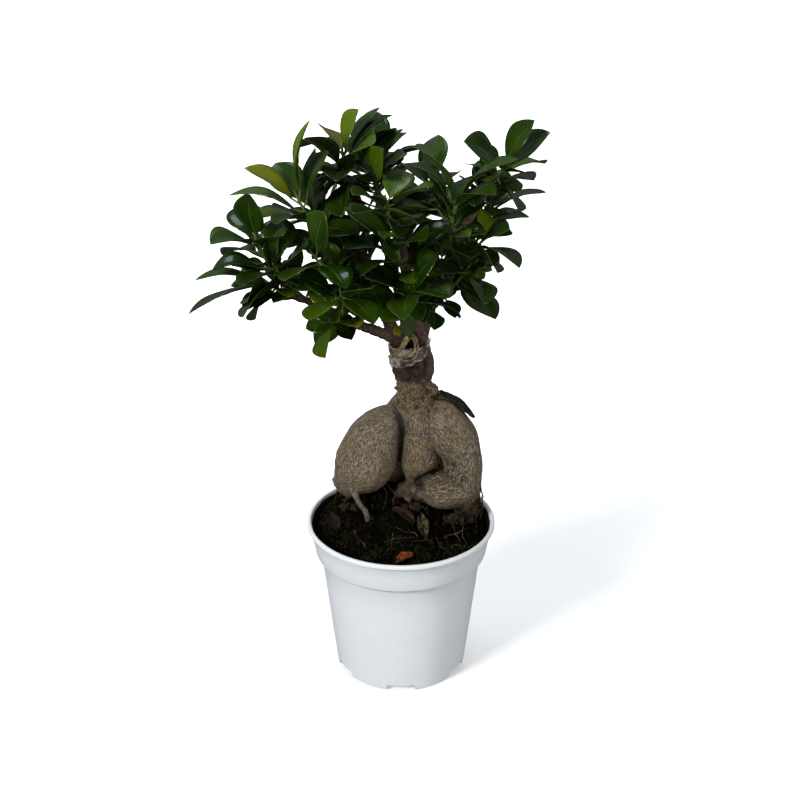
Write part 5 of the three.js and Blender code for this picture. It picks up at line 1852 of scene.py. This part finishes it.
@dataclass
class Scions:
    """The grafted scions with their limbs and the woody part of their twigs."""

    voxel: float = 0.5

    def build(self) -> list[bpy.types.Object]:
        """Build the bark of each scion.

        Returns:
            The finished pieces.
        """
        return [self.scion(name, limbs) for name, limbs in SCIONS.items()]

    def scion(self, name: str, limbs: dict[str, Rows]) -> bpy.types.Object:
        """Grow one scion's limbs and twigs into one piece, with knotty bark.

        Args:
            name: the scion's node.
            limbs: the rows of each of its limbs.

        Returns:
            The finished scion.
        """
        pieces = []
        for rows in limbs.values():
            shares = np.linspace(0, 1, 4 * len(rows))
            line = np.array([through(rows, share) for share in shares])
            knots = [1 + 0.10 * math.sin(9 * share * len(rows)) ** 4 for share in shares]
            radii = [radius_at(rows, share) * knot for share, knot in zip(shares, knots)]
            pieces.append(limb("limb", line, radii, 4))
        for shoot in (each for each in SHOOTS if each.scion == name):
            twig = Twig(shoot)
            line = np.array([twig.at(share) for share in np.linspace(0, 0.5, 10)])
            pieces.append(limb("twig", line, [1.6 - 0.4 * k / 9 for k in range(10)], 3))
        bark = grown(name + "_bark", pieces, self.voxel, 2)
        points, normals = points_of(bark), normals_of(bark)
        lift = noise_at(points / 2.8) * 0.45 + noise_at(points / 1.3, 5.0) * 0.22 + 0.12
        move_points(bark, points + normals * lift[:, None])
        youth = smooth_step(60.0, 120.0, np.linalg.norm(points - np.array((5.5, 16.0, 215.0)), axis=1))
        # Painted shade: the scions darken towards the graft, under the crown.
        low_shade = 1 - smooth_step(206.0, 226.0, points[:, 2])
        mark(bark, "zone", youth, low_shade)
        return hand_over(TWIG_BARK.dress(bark), "twig_bark", name)


# The graft's wrap


@dataclass
class GraftWrap:
    """Clear film wound round the graft, with a dry strand tied over it."""

    turns: Rows = (
        (5.5, 15.8, 207.5, 11.6, 4.5),
        (5.6, 15.8, 210.5, 12.6, 4.0),
        (5.4, 15.8, 214.0, 12.0, 2.6),
        (5.4, 15.8, 218.5, 12.7, 1.6),
    )
    layers: int = 3
    around: int = 150
    up: int = 22
    strand: Rows = ((-7.2, 12, 209.5), (-4, 7.2, 214), (-0.8, 4.1, 218.5), (2.2, 2.6, 223.5), (3.8, 2.8, 230))

    def build(self) -> list[bpy.types.Object]:
        """Build the film and the strand.

        Returns:
            The finished pieces.
        """
        return [self.film(), self.tie()]

    def ring(self, share: float) -> np.ndarray:
        """Return the middle, height, radius and slant of the wrap at a share of its height."""
        count = len(self.turns)
        return np.array([np.interp(share * (count - 1), range(count), column) for column in zip(*self.turns)])

    def film(self) -> bpy.types.Object:
        """Wind three crumpled layers of film, each a little outside the one before."""
        film = join("graft_film", [self.sleeve(layer) for layer in range(self.layers)])
        wall = film.modifiers.new("wall", "SOLIDIFY")
        wall.thickness = 0.22 * MM
        finish_modifiers(film)
        return hand_over(FILM.dress(film), "grafting_tape", "graft_tape")

    def sleeve(self, layer: int) -> bpy.types.Object:
        """Model one crumpled layer.

        Args:
            layer: its number, from the inside out.

        Returns:
            The layer as an open sleeve.
        """
        around, up = self.around, self.up
        points = []
        for row in range(up + 1):
            share = row / up
            x, y, z, radius, lift = self.ring(share)
            for k in range(around):
                angle = 2 * math.pi * k / around
                right, back = polar(2.6, angle + 0.9 * share)
                place = Vector((right + 7.0 * layer, back, share * 1.9))
                creases = abs(noise.noise(place * 1.9)) * 1.9 + noise.noise(place * 4.3) * 0.5
                ragged = noise.noise(place * 1.7 + Vector((0, 0, 9))) * (1.6 if row in (0, up) else 0.5)
                right, back = polar(radius - 0.85 + 0.42 * layer + creases * 0.75, angle)
                points.append((x + right, y + back, z + lift * math.cos(angle) + ragged * 0.8))
        faces = []
        for start in range(0, up * around, around):
            for k in range(around):
                here, there = start + k, start + (k + 1) % around
                faces.append((here, there, there + around, here + around))
        return mesh_piece(f"film_{layer}", np.array(points), faces)

    def tie(self) -> bpy.types.Object:
        """Model the dry strand: a strip up the front, with two loose loops round it."""
        line = np.array([through(self.strand, share) for share in np.linspace(0, 1, 22)])
        width = [1.5 + 0.25 * math.sin(0.9 * k) for k in range(22)]
        width[0] = width[-1] = 0.7
        pieces = [limb("strip", line, width, 3, flat=0.55)]
        loops = [
            ((-4.5, 6.8, 212.0), (1.0, 2.6, 213.5), (6.5, 1.6, 217.0), (8.4, 2.4, 222.0), (6.6, 2.6, 226.5),
             (3.4, 2.6, 223.5), (1.5, 3.0, 219.0)),
            ((1.0, 2.9, 211.0), (6.5, 2.2, 212.5), (10.0, 3.4, 217.0), (9.5, 4.5, 224.0), (6.5, 4.6, 228.5)),
        ]
        for rows in loops:
            path = np.array([through(rows, share) for share in np.linspace(0, 1, 26)])
            pieces.append(limb("loop", path, [0.62 + 0.12 * math.sin(k) for k in range(26)], 2))
        return hand_over(STRAW.dress(join("straw_strand", pieces)), "dry_strand", "tie_strand")


# Fallen leaves


@dataclass(frozen=True)
class Fallen:
    """A dead leaf: its node, both its ends, its width, its hump, its finish and how it is lifted clear."""

    node: str
    base: tuple[float, float, float]
    tip: tuple[float, float, float]
    width: float
    arch: float
    finish: DeadLeaf
    curl: float = 2.4
    facing: tuple[float, float, float] = (0.0, 0.0, 1.0)
    lift: tuple[float, float, float] = (0.0, 0.0, 1.0)


@dataclass
class Litter:
    """The dead leaves that lie on the soil and on the root's shoulder."""

    soil: PottingSoil
    blank: LeafBlank = field(default_factory=lambda: LeafBlank(rows=16, columns=8))

    def leaves(self) -> tuple[Fallen, ...]:
        """List the dead leaves."""
        flat = (
            ("fallen_leaf_front", (-3, -44), (8, -35), 8, 1.6, RUSTY_LEAF),
            ("fallen_leaf_middle", (-6, -3), (8, -11), 9, 2.4, DEAD_LEAF),
            ("fallen_leaf_right", (12, -3), (15, -19), 8, 2.0, OLIVE_LEAF),
            ("fallen_leaf_left", (-47, 4), (-40, -16), 10, 2.0, DARK_LEAF),
        )
        found = []
        for node, base, tip, width, arch, finish in flat:
            ends = [(x, y, self.soil.height(x, y)) for x, y in (base, tip)]
            found.append(Fallen(node, ends[0], ends[1], width, arch, finish))
        found.append(Fallen("dried_leaf", (19, 15, 179), (41, 13, 161), 8, 2.6, SHOULDER_LEAF, -1.2,
                            facing=(0.5, -0.35, 0.79), lift=(0.6, 0.0, 0.8)))
        return tuple(found)

    def build(self) -> list[bpy.types.Object]:
        """Build every dead leaf where its node lies.

        Returns:
            The finished pieces.
        """
        shape, faces = self.blank.build()
        return [self.dead_leaf(leaf, shape, faces) for leaf in self.leaves()]

    def dead_leaf(self, fallen: Fallen, shape: np.ndarray, faces: list[tuple[int, ...]]) -> bpy.types.Object:
        """Curl a blade into a dead leaf and lay it in its node's place.

        Args:
            fallen: the leaf.
            shape: the blank's points.
            faces: the blank's faces.

        Returns:
            The finished leaf.
        """
        base, tip = np.array(fallen.base, float), np.array(fallen.tip, float)
        facing = np.array(fallen.facing, float)
        leaf = Leaf(base, tip - base, facing, fallen.width, 0.0, fallen.arch, petiole=3.0)
        along, normal, across = leaf.axes()
        share, out, layer = shape[:, 0], shape[:, 1], shape[:, 2]
        blade = np.linalg.norm(leaf.reach)
        half = 0.5 * fallen.width * np.array([self.blank.outline(t) for t in np.clip(share, 0, 1)])
        torn = np.column_stack((share * 5, np.sign(out) * 3, share * 0 + fallen.width))
        half = half * (1 + 0.35 * noise_at(torn, 6.0) * np.abs(out))
        groove = 0.3 * np.exp(-((out / 0.12) ** 2))
        rise = fallen.arch * np.sin(math.pi * share) + fallen.curl * out**2 - groove
        rise = rise + 0.5 * noise_at(np.column_stack((share * 4, out * 2, share * 0)), 2.0)
        rise = rise + np.where(layer < -0.5, -0.2, 0.2)
        points = base + np.outer(blade * share, along) + np.outer(out * half * 0.95, across)
        points = points + np.outer(rise, normal)
        lowest, highest = (np.array(corner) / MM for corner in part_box(fallen.node))
        gap = 0.5 * (lowest + highest) - 0.5 * (points.min(0) + points.max(0))
        lift = np.array(fallen.lift, float)
        points = points + lift * np.dot(gap, lift) / np.dot(lift, lift)
        piece = mesh_piece(fallen.node + "_blade", points, faces)
        lay_map(piece, shape)
        return hand_over(fallen.finish.dress(piece), "dead_leaf", fallen.node)


# Camera, floor and light


@dataclass
class Studio:
    """The photograph's view: a pale floor, soft light from the upper left and the camera above the rim.

    Each lamp has a name, a place and a size in metres, its watts and its colour.
    """

    pitch: float = 24.1
    lens: float = 55.8
    camera_place: tuple[float, float, float] = (-0.6, -696.3, 497.9)
    paper_glow: float = 0.30
    zenith: float = 0.28
    horizon: float = 0.13
    lamps: tuple[tuple[str, tuple[float, float, float], float, float, Shade], ...] = (
        ("key", (-1.10, -1.05, 1.00), 0.45, 28.0, (0.99, 0.99, 1.0)),
        ("fill", (0.45, -1.75, 0.20), 1.2, 8.0, (1.0, 1.0, 1.0)),
        ("top", (-0.15, 0.40, 1.30), 0.5, 6.0, (0.80, 0.90, 1.0)),
        ("right", (1.30, -0.60, 0.30), 0.8, 7.5, (1.0, 1.0, 1.0)),
        ("back", (-0.50, 1.70, 0.30), 1.2, 12.0, (0.92, 0.96, 1.0)),
    )

    def camera(self) -> None:
        """Stand the camera where the photograph was taken from."""
        view = bpy.data.cameras.new("camera")
        view.lens = self.lens
        view.sensor_width = 36.0
        view.clip_start = 0.01
        view.clip_end = 50.0
        holder = in_scene("camera", view)
        holder.location = [v * MM for v in self.camera_place]
        holder.rotation_euler = (math.radians(90 - self.pitch), 0, 0)
        bpy.context.scene.camera = holder

    def floor(self) -> None:
        """Lay a wide pale floor that neither lights the plant from below nor shows in its gloss."""
        bpy.ops.mesh.primitive_plane_add(size=80, location=(0, 0, -0.0004))
        ground = bpy.context.object
        ground.name = "floor"
        ground.visible_diffuse = ground.visible_glossy = False
        Paper("paper", self.paper_glow).dress(ground)
        ground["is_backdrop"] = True

    def sky(self) -> None:
        """Wrap the scene in soft light that is strong from above, weak from below and white to look at."""
        world = bpy.data.worlds.new("studio")
        world.use_nodes = True
        wiring = Wiring(world.node_tree)
        seen = world.node_tree.nodes["Background"]
        feed(seen.inputs["Color"], (1.0, 1.0, 1.0))
        above = wiring.parts(wiring.signal("TexCoord", "Generated"))[2]
        strength = above.ramp(-0.25, 1.0).scaled(self.zenith - self.horizon, self.horizon)
        soft = wiring.signal("Background", 0, Color=(0.94, 0.97, 1.0), Strength=strength)
        camera_ray = wiring.signal("LightPath", "Is Camera Ray")
        pick = fed(wiring.node("MixShader"), camera_ray, soft, Signal(seen.outputs[0]))
        feed(world.node_tree.nodes["World Output"].inputs["Surface"], Signal(pick.outputs[0]))
        bpy.context.scene.world = world

    def lamp(
        self, name: str, place: tuple[float, float, float], size: float, watts: float, tint: Shade
    ) -> None:
        """Hang a soft square light that faces the crown. One behind the plant doesn't show in its gloss.

        Args:
            name: the light's name.
            place: where it hangs, in metres.
            size: its side, in metres.
            watts: its power.
            tint: its colour.
        """
        light = bpy.data.lights.new(name, "AREA")
        light.size = size
        light.energy = watts
        light.color = tint
        holder = in_scene(name, light)
        holder.location = place
        holder.visible_glossy = place[1] < 1.0
        aim = Vector((0.0, 0.0, 0.2)) - Vector(place)
        holder.rotation_euler = aim.to_track_quat("-Z", "Y").to_euler()

    def lights(self) -> None:
        """Light the plant softly from the upper left, with a cool light from above and weak ones round it."""
        self.sky()
        for lamp in self.lamps:
            self.lamp(*lamp)
        bpy.context.scene.view_settings.view_transform = "Standard"
        bpy.context.scene.view_settings.look = "None"


def corners(box: tuple[Vector, Vector]) -> list[list[float]]:
    """Return a box's two corners as plain lists."""
    return [list(map(float, corner)) for corner in box]


def main() -> None:
    """Build the plant, its pot and its studio."""
    logging.basicConfig(level=logging.INFO, format="%(message)s")
    studio = Studio()
    studio.camera()
    soil = PottingSoil()
    NurseryPot().build()
    soil.build()
    RootMass().build()
    Scions().build()
    GraftWrap().build()
    Litter(soil).build()
    Crown().build()
    studio.floor()
    studio.lights()
    {"cad": corners(CAD_BOX), "visual": corners(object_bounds())}


if __name__ == "__main__":
    main()
